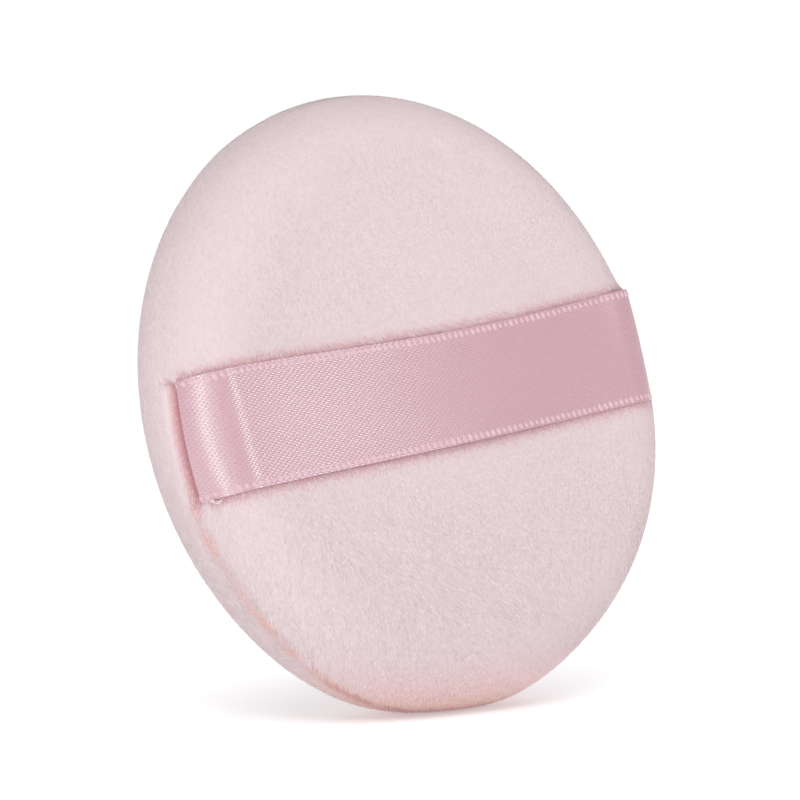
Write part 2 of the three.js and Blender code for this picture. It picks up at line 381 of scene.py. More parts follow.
class Groups:
    """The shader effects of the finishes as node groups, each built once."""

    UNEVEN_SCALE = 0.9
    ROW_UNEVEN = 0.35
    STEP_UNEVEN = 0.5
    CREST = 0.45
    FLANK = 0.6

    def __init__(self) -> None:
        """Builds the groups."""
        self.mottle = self._mottle()
        self.floats = self._floats()

    @staticmethod
    def _mottle() -> NodeTree:
        """Soft cloudy colour with a fine grain; gives the colour and the grain."""
        takes = {"Color": "Pale, Deep", "Float": "Patch, Grain, Strength"}
        nodes, inputs, end = new_tree("soft_mottle", "Shader", takes, {"Color": "Colour", "Float": "Grain"})
        place = nodes.out("ShaderNodeTexCoord", give="Object")
        patch = nodes.noise(place, inputs["Patch"], 3.0).outputs[0]
        grain = nodes.noise(place, inputs["Grain"], 2.0).outputs[0]
        share = nodes.math("MULTIPLY_ADD", grain, 0.5, nodes.math("MULTIPLY", patch, 0.5))
        spread = nodes.math("MULTIPLY_ADD", nodes.math("SUBTRACT", share, 0.5), inputs["Strength"], 0.5)
        share = nodes.out("ShaderNodeClamp", {0: spread})
        nodes.feed(end.inputs["Colour"], nodes.mix(share, inputs["Deep"], inputs["Pale"]))
        nodes.feed(end.inputs["Grain"], grain)
        return nodes.tree

    def _floats(self) -> NodeTree:
        """Rows of long thread floats, each row shifted along from the last, as satin shows them.

        Returns:
            The group, with a height that is 1 on top of a float and 0 in the gaps.
        """
        takes = {"Float": "Along, Across, Length, Pitch, Shift"}
        nodes, inputs, end = new_tree("satin_floats", "Shader", takes, {"Float": "Height"})
        place = nodes.joined(inputs["Along"], inputs["Across"])
        uneven = nodes.math("SUBTRACT", nodes.noise(place, self.UNEVEN_SCALE, 2.0).outputs[0], 0.5)
        rows = nodes.math("DIVIDE", inputs["Across"], inputs["Pitch"])
        rows = nodes.math("MULTIPLY_ADD", uneven, self.ROW_UNEVEN, rows)
        step = nodes.math("DIVIDE", inputs["Along"], inputs["Length"])
        step = nodes.math("MULTIPLY_ADD", nodes.math("FLOOR", rows), inputs["Shift"], step)
        step = nodes.math("MULTIPLY_ADD", uneven, self.STEP_UNEVEN, step)
        arches = []
        for run, power in ((step, self.CREST), (rows, self.FLANK)):
            arch = nodes.math("SINE", nodes.math("MULTIPLY", nodes.math("FRACT", run), math.pi))
            arches.append(nodes.math("POWER", arch, power))
        nodes.feed(end.inputs["Height"], nodes.math("MULTIPLY", *arches))
        return nodes.tree


class Finish:
    """A material with one Principled shader, as it is built up."""

    def __init__(self, name: str) -> None:
        """Makes the material and its shader."""
        self.material = bpy.data.materials.new(name)
        self.material.use_nodes = True
        self.nodes = Nodes(self.material.node_tree)
        self.shader = self.material.node_tree.nodes["Principled BSDF"]

    def set(self, **values: object) -> None:
        """Sets or links the shader's inputs; an underscore stands for a space."""
        for name, value in values.items():
            self.nodes.feed(self.shader.inputs[name.replace("_", " ")], value)

    def sheen(self, weight: float, roughness: float, tint: Colour) -> None:
        """Sets the soft bloom of fibres."""
        self.set(Sheen_Weight=weight, Sheen_Roughness=roughness, Sheen_Tint=tint)

    def mottle(self, groups: Groups, colours: tuple[Colour, Colour], sizes: Triple) -> Node:
        """Places the mottle group with its pale and deep colour, and its patch, grain and strength."""
        values = dict(zip(("Pale", "Deep", "Patch", "Grain", "Strength"), colours + sizes))
        return self.nodes.add("ShaderNodeGroup", values, node_tree=groups.mottle)

    def bump(self, height: Socket, strength: float, distance: float) -> None:
        """Feeds the shader's normal from a height of 0 to 1, whose real distance is in metres."""
        inputs = {"Height": height, "Strength": strength, "Distance": distance}
        self.set(Normal=self.nodes.out("ShaderNodeBump", inputs))


@dataclass(frozen=True)
class VelourSkin:
    """Knitted ground of the velour, which shows between the tufts."""

    pale: Colour = srgb(223, 206, 208)
    deep: Colour = srgb(219, 200, 202)
    # Painted warm shade near the floor and along the lower seam.
    warm: Colour = srgb(212, 154, 156)
    # Painted pink reflection and shadow along the ribbon, and painted shade in the gap at its sewn ends.
    flush: Colour = srgb(206, 146, 153)
    mottling: Triple = (160.0, 2600.0, 1.6)
    roughness: float = 0.95
    specular: float = 0.1
    sheen: Sheen = (0.25, 0.5, srgb(255, 240, 242))
    bump: float = 0.5
    bump_depth: float = 0.00008

    def material(self, groups: Groups) -> Material:
        """Builds the material."""
        made = Finish("velour_skin")
        mottle = made.mottle(groups, (self.pale, self.deep), self.mottling)
        colour = mottle.outputs["Colour"]
        # Painted warm shade, and painted ribbon reflection and shadow, mixed into the ground's colour from
        # stored fields.
        for name, tint in (("warm", self.warm), ("flush", self.flush)):
            share = made.nodes.out("ShaderNodeAttribute", give="Fac", attribute_name=name)
            colour = made.nodes.mix(share, colour, tint)
        made.set(Base_Color=colour, Roughness=self.roughness, Specular_IOR_Level=self.specular)
        made.sheen(*self.sheen)
        made.bump(mottle.outputs["Grain"], self.bump, self.bump_depth)
        return made.material


@dataclass(frozen=True)
class VelourTuft:
    """One shade of the pile's tufts. Tufts of several shades lie mixed on a cover."""

    name: str
    colour: Colour
    roughness: float = 0.9
    specular: float = 0.15
    sheen: Sheen = (0.15, 0.45, srgb(255, 244, 246))

    def material(self) -> Material:
        """Builds the material."""
        made = Finish(f"velour_tuft_{self.name.lower()}")
        made.set(Base_Color=self.colour, Roughness=self.roughness, Specular_IOR_Level=self.specular)
        made.sheen(*self.sheen)
        return made.material


@dataclass(frozen=True)
class Satin:
    """Woven satin with long floats along the ribbon."""

    pale: Colour = srgb(213, 155, 168)
    deep: Colour = srgb(180, 116, 133)
    float_length: float = 0.95
    float_pitch: float = 0.25
    row_shift: float = 0.6
    hollow_roughness: float = 0.46
    crest_roughness: float = 0.26
    specular: float = 1.0
    specular_tint: Colour = (0.72, 1.0, 0.97, 1.0)
    refraction: float = 2.0
    anisotropy: float = 0.7
    anisotropic_turn: float = 0.25
    sheen: Sheen = (0.1, 0.4, srgb(255, 235, 240))
    bump: float = 0.85
    bump_depth: float = 0.00003

    def material(self, groups: Groups) -> Material:
        """Builds the material."""
        made = Finish("satin_weave")
        nodes = made.nodes
        split = nodes.add("ShaderNodeSeparateXYZ", {0: nodes.out("ShaderNodeUVMap", uv_map="weave")})
        along, across = (nodes.math("MULTIPLY", split.outputs[i], WEAVE_SPAN) for i in (0, 1))
        values = {"Along": along, "Across": across, "Length": self.float_length}
        values |= {"Pitch": self.float_pitch, "Shift": self.row_shift}
        height = nodes.out("ShaderNodeGroup", values, "Height", node_tree=groups.floats)
        # The colour is darker in the gaps between floats, as painted shade between the threads.
        made.set(Base_Color=nodes.mix(height, self.deep, self.pale))
        made.set(Roughness=nodes.between(height, self.hollow_roughness, self.crest_roughness))
        made.set(Specular_IOR_Level=self.specular, IOR=self.refraction, Specular_Tint=self.specular_tint)
        made.set(Anisotropic=self.anisotropy, Anisotropic_Rotation=self.anisotropic_turn)
        made.set(Tangent=nodes.out("ShaderNodeTangent", direction_type="UV_MAP", uv_map="weave"))
        made.sheen(*self.sheen)
        made.bump(height, self.bump, self.bump_depth)
        return made.material


@dataclass(frozen=True)
class Yarn:
    """Spun yarn of the selvedge beads and of the sewing threads."""

    name: str
    pale: Colour
    deep: Colour
    mottling: Triple = (900.0, 9000.0, 2.0)
    roughness: float = 0.5
    specular: float = 0.4
    sheen: Sheen = (0.2, 0.4, srgb(255, 240, 242))
    bump: float = 0.4
    bump_depth: float = 0.00004

    def material(self, groups: Groups) -> Material:
        """Builds the material."""
        made = Finish(self.name)
        mottle = made.mottle(groups, (self.pale, self.deep), self.mottling)
        made.set(Base_Color=mottle.outputs["Colour"])
        made.set(Roughness=self.roughness, Specular_IOR_Level=self.specular)
        made.sheen(*self.sheen)
        made.bump(mottle.outputs["Grain"], self.bump, self.bump_depth)
        return made.material


@dataclass(frozen=True)
class Foam:
    """Open-cell foam with fine pores."""

    pale: Colour = srgb(246, 240, 233)
    deep: Colour = srgb(214, 200, 188)
    mottling: Triple = (90.0, 1500.0, 1.2)
    pore: float = 2200.0
    pore_contrast: float = 1.4
    roughness: float = 0.95
    specular: float = 0.1
    bump: float = 0.7
    bump_depth: float = 0.0003

    def material(self, groups: Groups) -> Material:
        """Builds the material."""
        made = Finish("open_cell_foam")
        place = made.nodes.out("ShaderNodeTexCoord", give="Object")
        pores = made.nodes.out("ShaderNodeTexVoronoi", {"Vector": place, "Scale": self.pore}, "Distance")
        wall = made.nodes.math("MULTIPLY", pores, self.pore_contrast)
        mottle = made.mottle(groups, (self.pale, self.deep), self.mottling)
        # The colour is darker in the pores, as painted shade in their hollows.
        made.set(Base_Color=made.nodes.mix(wall, self.deep, mottle.outputs["Colour"]))
        made.set(Roughness=self.roughness, Specular_IOR_Level=self.specular)
        made.bump(pores, self.bump, self.bump_depth)
        return made.material


@dataclass(frozen=True)
class CushionSizes:
    """Sizes of the two sewn covers, in millimetres."""

    diameter: float = 80.0
    rim_thickness: float = 15.6
    front_crown: float = 0.8
    back_crown: float = 0.6
    seam_offset: float = 1.7
    seam_sag: float = 1.0
    groove_depth: float = 0.25
    groove_shallow: float = 0.02
    groove_ribbon: float = 1.5
    groove_reach: float = 1.5
    pile_height: float = 0.24
    lip: float = 0.35
    wall: float = 1.2

    @property
    def rim_radius(self) -> float:
        """Radius of the rounded rim."""
        return self.rim_thickness / 2

    @property
    def rim_centre(self) -> float:
        """Distance of the rim's own centre from the puff's axis."""
        return self.diameter / 2 - self.rim_radius

    def face_rise(self, side: Side, radius: Array) -> Array:
        """Height of a face above the rim's middle plane, at a radius."""
        crown = self.front_crown if side is Side.FRONT else self.back_crown
        share = np.clip(radius / self.rim_centre, 0, 1)
        return self.rim_radius + crown * (1 - share**2) ** 2


@dataclass(frozen=True)
class RibbonSizes:
    """Sizes of the finger ribbon, in millimetres."""

    width: float = 15.0
    thickness: float = 0.32
    offset: float = 0.5
    standoff: float = -0.08
    sink: float = 0.25
    sink_from: float = math.radians(20)
    turn_at: float = math.radians(57)
    turn_radius: float = 0.6
    tail: float = 2.5
    seam_pull: float = 1.35
    slope: float = 0.45
    bow: float = 0.5
    hang: float = 0.72
    narrowing: float = 0.42
    hang_middle: float = 6.0
    hang_span: float = 40.0

    @property
    def half(self) -> float:
        """Half the ribbon's width."""
        return self.width / 2

    def ease(self, x: Array) -> Array:
        """How free the ribbon is at a place along X: 0 at its sewn ends, 1 where it hangs most."""
        return np.clip(1 - ((x - self.hang_middle) / self.hang_span) ** 2, 0, 1) ** 2

    def middle_at(self, x: Array) -> Array:
        """Where the ribbon's middle line lies up the puff; it hangs a little between its ends."""
        return self.offset - self.hang * self.ease(x)

    def half_at(self, x: Array) -> Array:
        """Half the ribbon's width, drawn in a little where it is pulled straight."""
        return self.half - self.narrowing * self.ease(x)


class Cushion:
    """The two velour covers round their foam, sewn together at the rim."""

    RINGS = 46
    RIM_RINGS = 14
    RIM_BAND = 8.0
    # How far the pull reaches past the ribbon's upper and lower edge.
    PULL_FADE = (0.9, 2.0)
    PULL_EDGE = (-0.4, 1.0)
    SEAM_SAG_FROM = (0.6, 0.95)
    GROOVE_FROM = (-0.1, 0.4)
    GROOVE_POWER = 1.6
    UNDER_FADE = (-1.4, -0.3)
    # How far each sag stands out, its place about the axis and its reach, in degrees.
    SAGS = ((0.5, -22, 24), (0.5, -125, 22), (-0.5, -64, 18))
    SAG_FROM = (25, 38)
    SLACK = 0.3
    SLACK_FADE = (24, 35)
    PRESS = 0.12
    RIM_PRESS = 0.1
    RIM_PRESS_FROM = 0.2
    LIP_BELL = (0.2, 0.9**2)
    LIP_FADE = (1.2, 0.8)
    MOST_SWELL = 0.5
    SIM_SCALE = 0.01
    SIM_FRAMES = 20
    LEAST_HOLD = 0.01
    RIBBON_HOLD = 0.9
    SEAM_HOLD = (0.6, 2.6)
    CLOTH = {
        "quality": 6,
        "mass": 0.3,
        "tension_stiffness": 20.0,
        "compression_stiffness": 20.0,
        "shear_stiffness": 8.0,
        "bending_stiffness": 2.0,
        "use_pressure": True,
        "uniform_pressure_force": 1.0,
    }
    FOOT_LEVEL = 0.3
    FOOT_SOFTNESS = 0.5
    FOOT_REACH = 8
    FOOT_RANGE = 30
    ZONE_SPLIT = 29.5
    NAP_TURN = 0.15
    # Height of each wave of the nap, its lengths along X, Y and Z, and its start.
    NAP_WAVES = (
        (0.2, (9.0, math.inf, math.inf), 1.3),
        (0.2, (15.0, 7.0, math.inf), -0.6),
        (0.15, (4.1, 4.1, 5.0), 2.0),
    )
    # Added to a face's distance from the seam, so that only the rim counts as near it.
    FACE_FROM_SEAM = 3
    LOW = (-0.2, 0.5)
    RAISED = 0.5
    # Most painted pink reflection and shadow above and below the ribbon, and the middle and spread of its
    # bell.
    EDGE_FLUSH = ((0.7, 0.1, 0.9), (0.75, -0.2, 1.2))
    SEAM_FLUSH = (0.4, 1.4)
    SEAM_WARMTH = (0.1, 1.2)
    PATCHES = (0.55, 0.25)
    PATCH_WAVES = (31, 13)
    # Most painted warm shade, and the heights above the floor that it fades between.
    FLOOR_WARMTH = ((0.85, -2.0, 10.0), (0.35, 0.2, 2.2))
    MOST_WARMTH = 1.1
    SEAM_FLUFF = (0.3, 1.5)
    MOST_SEAM_FLUFF = 0.6
    EDGE_FLUFF = (0.3, 0.4)
    MOST_EDGE_FLUFF = 0.8
    FRONT_EDGE = (-2, 4)
    ROUGH = 0.3
    ROUGH_FLUFF = 0.6
    ROUGH_LOWER = (0.5, 0.3)
    LOWER_LEFT = (4, 36)
    LOWER_SLANT = 0.3
    ROUGH_UPPER = (0.1, 0.25)
    UPPER_LEFT = (5, 45)

    def __init__(self, sizes: CushionSizes, ribbon: RibbonSizes, stance: Stance) -> None:
        """Keeps the sizes and the stance."""
        self.sizes = sizes
        self.ribbon = ribbon
        self.stance = stance

    def up_rim(self, angle: Array) -> Array:
        """How far up the rim an angle lies from the ribbon's middle line."""
        return self.sizes.diameter / 2 * np.sin(angle) - self.ribbon.offset

    def ribbon_pull(self, angle: Array) -> Array:
        """1 where a ribbon end is sewn into the seam, fading to 0 past its edges."""
        across = self.up_rim(angle)
        reach = np.where(across > 0, *self.PULL_FADE)
        return 1 - smooth((np.abs(across) - self.ribbon.half) / reach, *self.PULL_EDGE)

    def seam_height(self, angle: Array) -> Array:
        """Height of the seam above the rim's middle plane.

        Args:
            angle: angle about the puff's axis.

        Returns:
            The height, pulled forward at the ribbon's ends and lower where the puff stands.
        """
        sag = self.sizes.seam_sag * smooth(-np.sin(angle), *self.SEAM_SAG_FROM)
        across = self.up_rim(angle) / self.ribbon.half
        slope = self.ribbon.slope * np.clip(across, -1, 1) * (np.cos(angle) < 0)
        return self.sizes.seam_offset - sag + (self.ribbon.seam_pull + slope) * self.ribbon_pull(angle)

    def sag(self, angle: Array) -> Array:
        """How far the soft rim stands out from a true circle where the puff leans on it."""
        out = np.zeros_like(angle)
        for rise, place, reach in self.SAGS:
            apart = np.angle(np.exp(1j * (angle - math.radians(place))))
            out += rise * hill(apart, 0, math.radians(reach) ** 2)
        return out

    def groove(self, angle: Array, to_seam: Array) -> Array:
        """How far the seam draws the covers in: deep below the ribbon, almost closed above it."""
        size = self.sizes
        below = smooth(-np.sin(angle), *self.GROOVE_FROM)
        depth = size.groove_shallow + (size.groove_depth - size.groove_shallow) * below
        depth = depth + (size.groove_ribbon - depth) * self.ribbon_pull(angle)
        return depth * np.clip(1 - to_seam / size.groove_reach, 0, 1) ** self.GROOVE_POWER

    def past_ribbon(self, points: Array) -> tuple[Array, Array]:
        """How far points lie above the ribbon's upper edge, and below its lower edge."""
        x, y, _ = points.T
        middle, half = self.ribbon.middle_at(x), self.ribbon.half_at(x)
        return y - middle - half, middle - half - y

    def under_ribbon(self, points: Array) -> Array:
        """1 where the ribbon lies over a point of the front cover, fading to 0 past its edges."""
        over = 1 - smooth(np.maximum(*self.past_ribbon(points)), *self.UNDER_FADE)
        return over * (points[:, 2] > self.sizes.seam_offset)

    def meridian(self, side: Side, share: float, angle: Array) -> tuple[Array, Array, Array]:
        """Outer surface of a cover at a share of the way from its middle to the seam.

        Args:
            side: which cover.
            share: share of the way from the face's middle to the seam.
            angle: angles about the puff's axis.

        Returns:
            The points, their outward normals, and their distance from the seam along the cloth.
        """
        size = self.sizes
        lift = np.arcsin(self.seam_height(angle) / size.rim_radius)
        length = size.rim_centre + size.rim_radius * (QUARTER - side.value * lift)
        run = share * length
        turn = np.maximum(run - size.rim_centre, 0) / size.rim_radius
        on_face = run < size.rim_centre
        radius = np.where(on_face, run, size.rim_centre + size.rim_radius * np.sin(turn))
        height = np.where(on_face, size.face_rise(side, run), size.rim_radius * np.cos(turn))
        points = about_axis(radius, angle, side.value * height)
        return points, about_axis(np.sin(turn), angle, side.value * np.cos(turn)), length - run

    def skin(self, side: Side, share: float, angle: Array, inset: float, slack: float) -> Array:
        """A cover's surface at a depth below the pile's tips, drawn in at the seam.

        Args:
            side: which cover.
            share: share of the way from the face's middle to the seam.
            angle: angles about the puff's axis.
            inset: depth below the outer surface, in millimetres.
            slack: further depth of the face before it swells, in millimetres.

        Returns:
            The points.
        """
        points, normals, to_seam = self.meridian(side, share, angle)
        depth = slack * (1 - smooth(polar(points)[0], *self.SLACK_FADE))
        if side is Side.FRONT:
            turn = np.arccos(np.clip(normals[:, 2], -1, 1))
            on_rim = smooth(turn, self.RIM_PRESS_FROM, self.ribbon.turn_at)
            press = self.PRESS + (self.ribbon.sink + self.RIM_PRESS) * on_rim
            depth += (press - depth) * self.under_ribbon(points)
            above, _ = self.past_ribbon(points)
            depth -= self.sizes.lip * hill(above, *self.LIP_BELL) * smooth(turn, *self.LIP_FADE)
        points = points - normals * (depth + inset)[:, None]
        drawn = self.groove(angle, to_seam) - self.sag(angle) * smooth(polar(points)[0], *self.SAG_FROM)
        return points - about_axis(1, angle, np.zeros_like(angle)) * drawn[:, None]

    def bag(self, inset: float, slack: float = 0.0) -> tuple[Array, Triangles, Array]:
        """Both covers as one closed bag of rings, closer together at the rim.

        Args:
            inset: depth below the outer surface, in millimetres.
            slack: further depth of the faces before they swell, in millimetres.

        Returns:
            The points, the faces, and each face's side: 0 on the front cover and 1 on the back.
        """
        rim_share = self.RIM_BAND / (self.sizes.rim_centre + self.sizes.rim_radius * QUARTER)
        near = np.linspace(0, 1, self.RINGS - self.RIM_RINGS + 1) * (1 - rim_share)
        far = 1 - rim_share * (1 - np.arange(1, self.RIM_RINGS + 1) / self.RIM_RINGS)
        points: list[Array] = []
        faces: Triangles = []
        marks: list[int] = []
        seam: list[int] = []
        count = 0
        for mark, side in enumerate(Side):
            rings = []
            for ring, share in enumerate(np.concatenate([near, far])):
                if side is Side.BACK and ring == self.RINGS:
                    rings.append(seam)
                    continue
                around = max(1, SECTORS * ring)
                points.append(self.skin(side, share, FULL_TURN * np.arange(around) / around, inset, slack))
                rings.append(list(range(count, count + around)))
                count += around
            seam = rings[-1]
            made = self.between_rings(rings, side is Side.BACK)
            faces += made
            marks += [mark] * len(made)
        return np.concatenate(points), faces, np.array(marks)

    @staticmethod
    def between_rings(rings: list[list[int]], flip: bool) -> Triangles:
        """Triangles between rings that grow by a point in each sector.

        Args:
            rings: vertex numbers of each ring, from the middle outwards.
            flip: turn the faces over.

        Returns:
            The triangles.
        """
        faces = []
        for inner, outer in zip(rings, rings[1:]):
            steps = len(outer) // SECTORS
            for sector in range(SECTORS):
                for i in range(steps):
                    a, b = (outer[(sector * steps + i + j) % len(outer)] for j in (0, 1))
                    c, d = (inner[(sector * (steps - 1) + i + j) % len(inner)] for j in (0, 1))
                    faces.append((a, b, c))
                    if i < steps - 1:
                        faces.append((c, b, d))
        return [face[::-1] for face in faces] if flip else faces

    def held(self, points: Array) -> Array:
        """How firmly each point of the bag is held while it swells: the seam and under the ribbon."""
        radius, angle = polar(points)
        from_seam = np.abs(points[:, 2] - self.seam_height(angle))
        at_seam = (1 - smooth(from_seam, *self.SEAM_HOLD)) * (radius > self.sizes.rim_centre)
        return np.maximum(at_seam, self.RIBBON_HOLD * self.under_ribbon(points))

    def swell(self, points: Array, faces: Triangles) -> Array:
        """Lets the bag swell as cloth over its filling, held at the seam and under the ribbon.

        Args:
            points: the bag's points, slightly smaller than it ends.
            faces: the bag's faces.

        Returns:
            The points after the swell. The foam keeps them from moving in, and none moves out further than
            MOST_SWELL.
        """
        scratch = add_object("cushion_swell", new_mesh("cushion_swell", points * self.SIM_SCALE, faces))
        normals = gather(scratch.data.vertex_normals, "vector")
        group = scratch.vertex_groups.new(name="held")
        for number, weight in enumerate(self.held(points)):
            if weight > self.LEAST_HOLD:
                group.add([number], float(weight), "REPLACE")
        cloth = scratch.modifiers.new("swell", "CLOTH")
        for name, value in self.CLOTH.items():
            setattr(cloth.settings, name, value)
        cloth.settings.vertex_group_mass = group.name
        cloth.settings.effector_weights.gravity = 0.0
        cloth.collision_settings.use_collision = False
        cloth.point_cache.frame_start = 1
        cloth.point_cache.frame_end = self.SIM_FRAMES
        for number in range(1, self.SIM_FRAMES + 1):
            bpy.context.scene.frame_set(number)
        settled = baked(scratch)
        moved = positions(settled) / self.SIM_SCALE - points
        bpy.data.meshes.remove(settled)
        bpy.context.scene.frame_set(1)
        swell = np.maximum(np.sum(moved * normals, 1), 0)
        LOG.info("cushion swelled by %.2f mm on average, %.2f mm at most", swell.mean(), swell.max())
        return points + normals * (self.MOST_SWELL * np.tanh(swell / self.MOST_SWELL))[:, None]

    @staticmethod
    def finer(points: Array, faces: Triangles, marks: Array) -> Mesh:
        """The bag with one smooth subdivision; a face's material number says its side."""
        mesh = new_mesh("cushion_bag", points, faces)
        mesh.polygons.foreach_set("material_index", marks)
        for side in Side:
            mesh.materials.append(bpy.data.materials.new(label(side)))
        scratch = add_object("cushion_bag", mesh)
        level = scratch.modifiers.new("fine", "SUBSURF")
        level.levels = level.render_levels = 1
        return baked(scratch)

    def rest_on_floor(self, points: Array) -> Array:
        """Presses the lowest points up to the floor with a soft edge."""
        height = self.stance.heights(points)
        gap = (height - self.FOOT_LEVEL) / self.FOOT_SOFTNESS
        bend = np.log1p(np.exp(np.clip(gap, -self.FOOT_RANGE, self.FOOT_RANGE)))
        lifted = self.FOOT_LEVEL + self.FOOT_SOFTNESS * bend
        rise = np.where(gap < self.FOOT_REACH, lifted - height, 0)
        return points + np.outer(rise, self.stance.axes[:, 2])

    def covers(self) -> dict[Side, Mesh]:
        """Builds both covers' outer skins in the puff's millimetres.

        Returns:
            One mesh for each side.
        """
        slack = self.SLACK
        points, faces, marks = self.bag(self.sizes.pile_height, slack)
        points = self.swell(points, faces)
        fine = self.finer(points, faces, marks)
        places = self.rest_on_floor(positions(fine))
        move_to(fine, places)
        facing = gather(fine.vertex_normals, "vector")
        made = {}
        for mark, side in enumerate(Side):
            kept = [list(face.vertices) for face in fine.polygons if face.material_index == mark]
            used = np.unique(np.concatenate(kept))
            number = np.zeros(len(places), int)
            number[used] = np.arange(len(used))
            corners = [[int(number[v]) for v in face] for face in kept]
            made[side] = new_mesh(f"{label(side)}_cover_velour", places[used], corners)
            write_field(made[side], "facing", facing[used])
            self.split_at_seam(made[side])
        bpy.data.meshes.remove(fine)
        return made

    @staticmethod
    def split_at_seam(mesh: Mesh) -> None:
        """Marks a cover's open edge as sharp, so its wall's edge doesn't shade into the outside."""
        pairs = np.array([sorted(pair) for face in mesh.polygons for pair in face.edge_keys])
        edges, uses = np.unique(pairs, axis=0, return_counts=True)
        rim = {tuple(edge) for edge in edges[uses == 1]}
        sharp = mesh.attributes.new("sharp_edge", "BOOLEAN", "EDGE")
        sharp.data.foreach_set("value", [edge.key in rim for edge in mesh.edges])

    def nap(self, points: Array, normals: Array, side: Side) -> Array:
        """Which way the pile lies: down the front's cloth and up the back's, so it runs on over the seam."""
        _, angle = polar(points)
        around = np.stack([-np.sin(angle), np.cos(angle), np.zeros_like(angle)], 1)
        outward = side.value * np.cross(around, normals)
        waves = self.NAP_WAVES
        sway = sum(height * np.sin((points / lengths).sum(1) + start) for height, lengths, start in waves)
        heading = sway - side.value * QUARTER + self.NAP_TURN - angle
        return unit(outward * np.cos(heading)[:, None] + around * np.sin(heading)[:, None])

    def fields(self, mesh: Mesh, side: Side) -> None:
        """Stores what the pile needs on a cover, such as how the nap lies and where it is pressed.

        Args:
            mesh: the cover's skin, in the puff's millimetres.
            side: which cover.
        """
        points = positions(mesh)
        x, y, z = points.T
        radius, angle = polar(points)
        from_seam = np.abs(z - self.seam_height(angle))
        from_seam += self.FACE_FROM_SEAM * (radius < self.sizes.rim_centre)
        low = smooth(-np.sin(angle), *self.LOW)
        edges = self.past_ribbon(points)
        raised = z > self.sizes.rim_radius * self.RAISED
        # Painted light and shade: the ribbon's pink reflection with a shadow along its edges, and shade in
        # the gap where its ends are sewn in.
        flush = sum(most * hill(past, *bell) for past, (most, *bell) in zip(edges, self.EDGE_FLUSH))
        at_end = self.ribbon_pull(angle) * (1 - smooth(from_seam, *self.SEAM_FLUSH))
        flush = np.maximum(flush * raised, at_end)
        # Painted warm shade in patches along the lower seam, and painted warm bounce light and shade near
        # the floor.
        level, swing = self.PATCHES
        fast, slow = self.PATCH_WAVES
        patchy = level + swing * np.sin(fast * angle + 2 * np.sin(slow * angle))
        warm = patchy * low * (1 - smooth(from_seam, *self.SEAM_WARMTH))
        height = self.stance.heights(points)
        for most, start, stop in self.FLOOR_WARMTH:
            warm = warm + most * (1 - smooth(height, start, stop))
        # The pile stands up along the lower seam and over the ribbon's upper edge.
        fluff = self.MOST_SEAM_FLUFF * low * (1 - smooth(from_seam, *self.SEAM_FLUFF))
        fluff = np.maximum(fluff, self.MOST_EDGE_FLUFF * (hill(edges[0], *self.EDGE_FLUFF) * raised))
        # It is rougher towards the front's lower left, and a little towards its upper left.
        on_front = smooth(self.sizes.rim_centre - radius, *self.FRONT_EDGE) * (z > 0)
        all_round, in_front = self.ROUGH_LOWER
        lower = (all_round + in_front * on_front) * smooth(-y - self.LOWER_SLANT * x, *self.LOWER_LEFT)
        even, corner = self.ROUGH_UPPER
        upper = on_front * (even + corner * smooth(y - x, *self.UPPER_LEFT))
        rough = self.ROUGH + lower + self.ROUGH_FLUFF * fluff + upper
        write_field(mesh, "nap", self.nap(points, gather(mesh.attributes["facing"].data, "vector"), side))
        write_field(mesh, "press", self.under_ribbon(points))
        write_field(mesh, "warm", np.clip(warm, 0, self.MOST_WARMTH))
        write_field(mesh, "flush", flush)
        write_field(mesh, "fluff", fluff)
        write_field(mesh, "rough", rough)
        middles = gather(mesh.polygons, "center")
        zones = 2 * (polar(middles)[0] > self.ZONE_SPLIT) + (middles[:, 1] < 0)
        write_field(mesh, "zone", zones, "FACE")


@dataclass(frozen=True)
class PileSizes:
    """Sizes of the tufts in millimetres, and shares of how they lie. The tree takes each by its name."""

    density: float = 26.0
    length: float = 0.85
    width: float = 0.16
    lean: float = 0.8
    pressed_lean: float = 0.93
    ruffle: float = 0.3
    stray: float = 0.08
    clump_across: float = 0.4
    clump_along: float = 1.5
    root_depth: float = 0.12


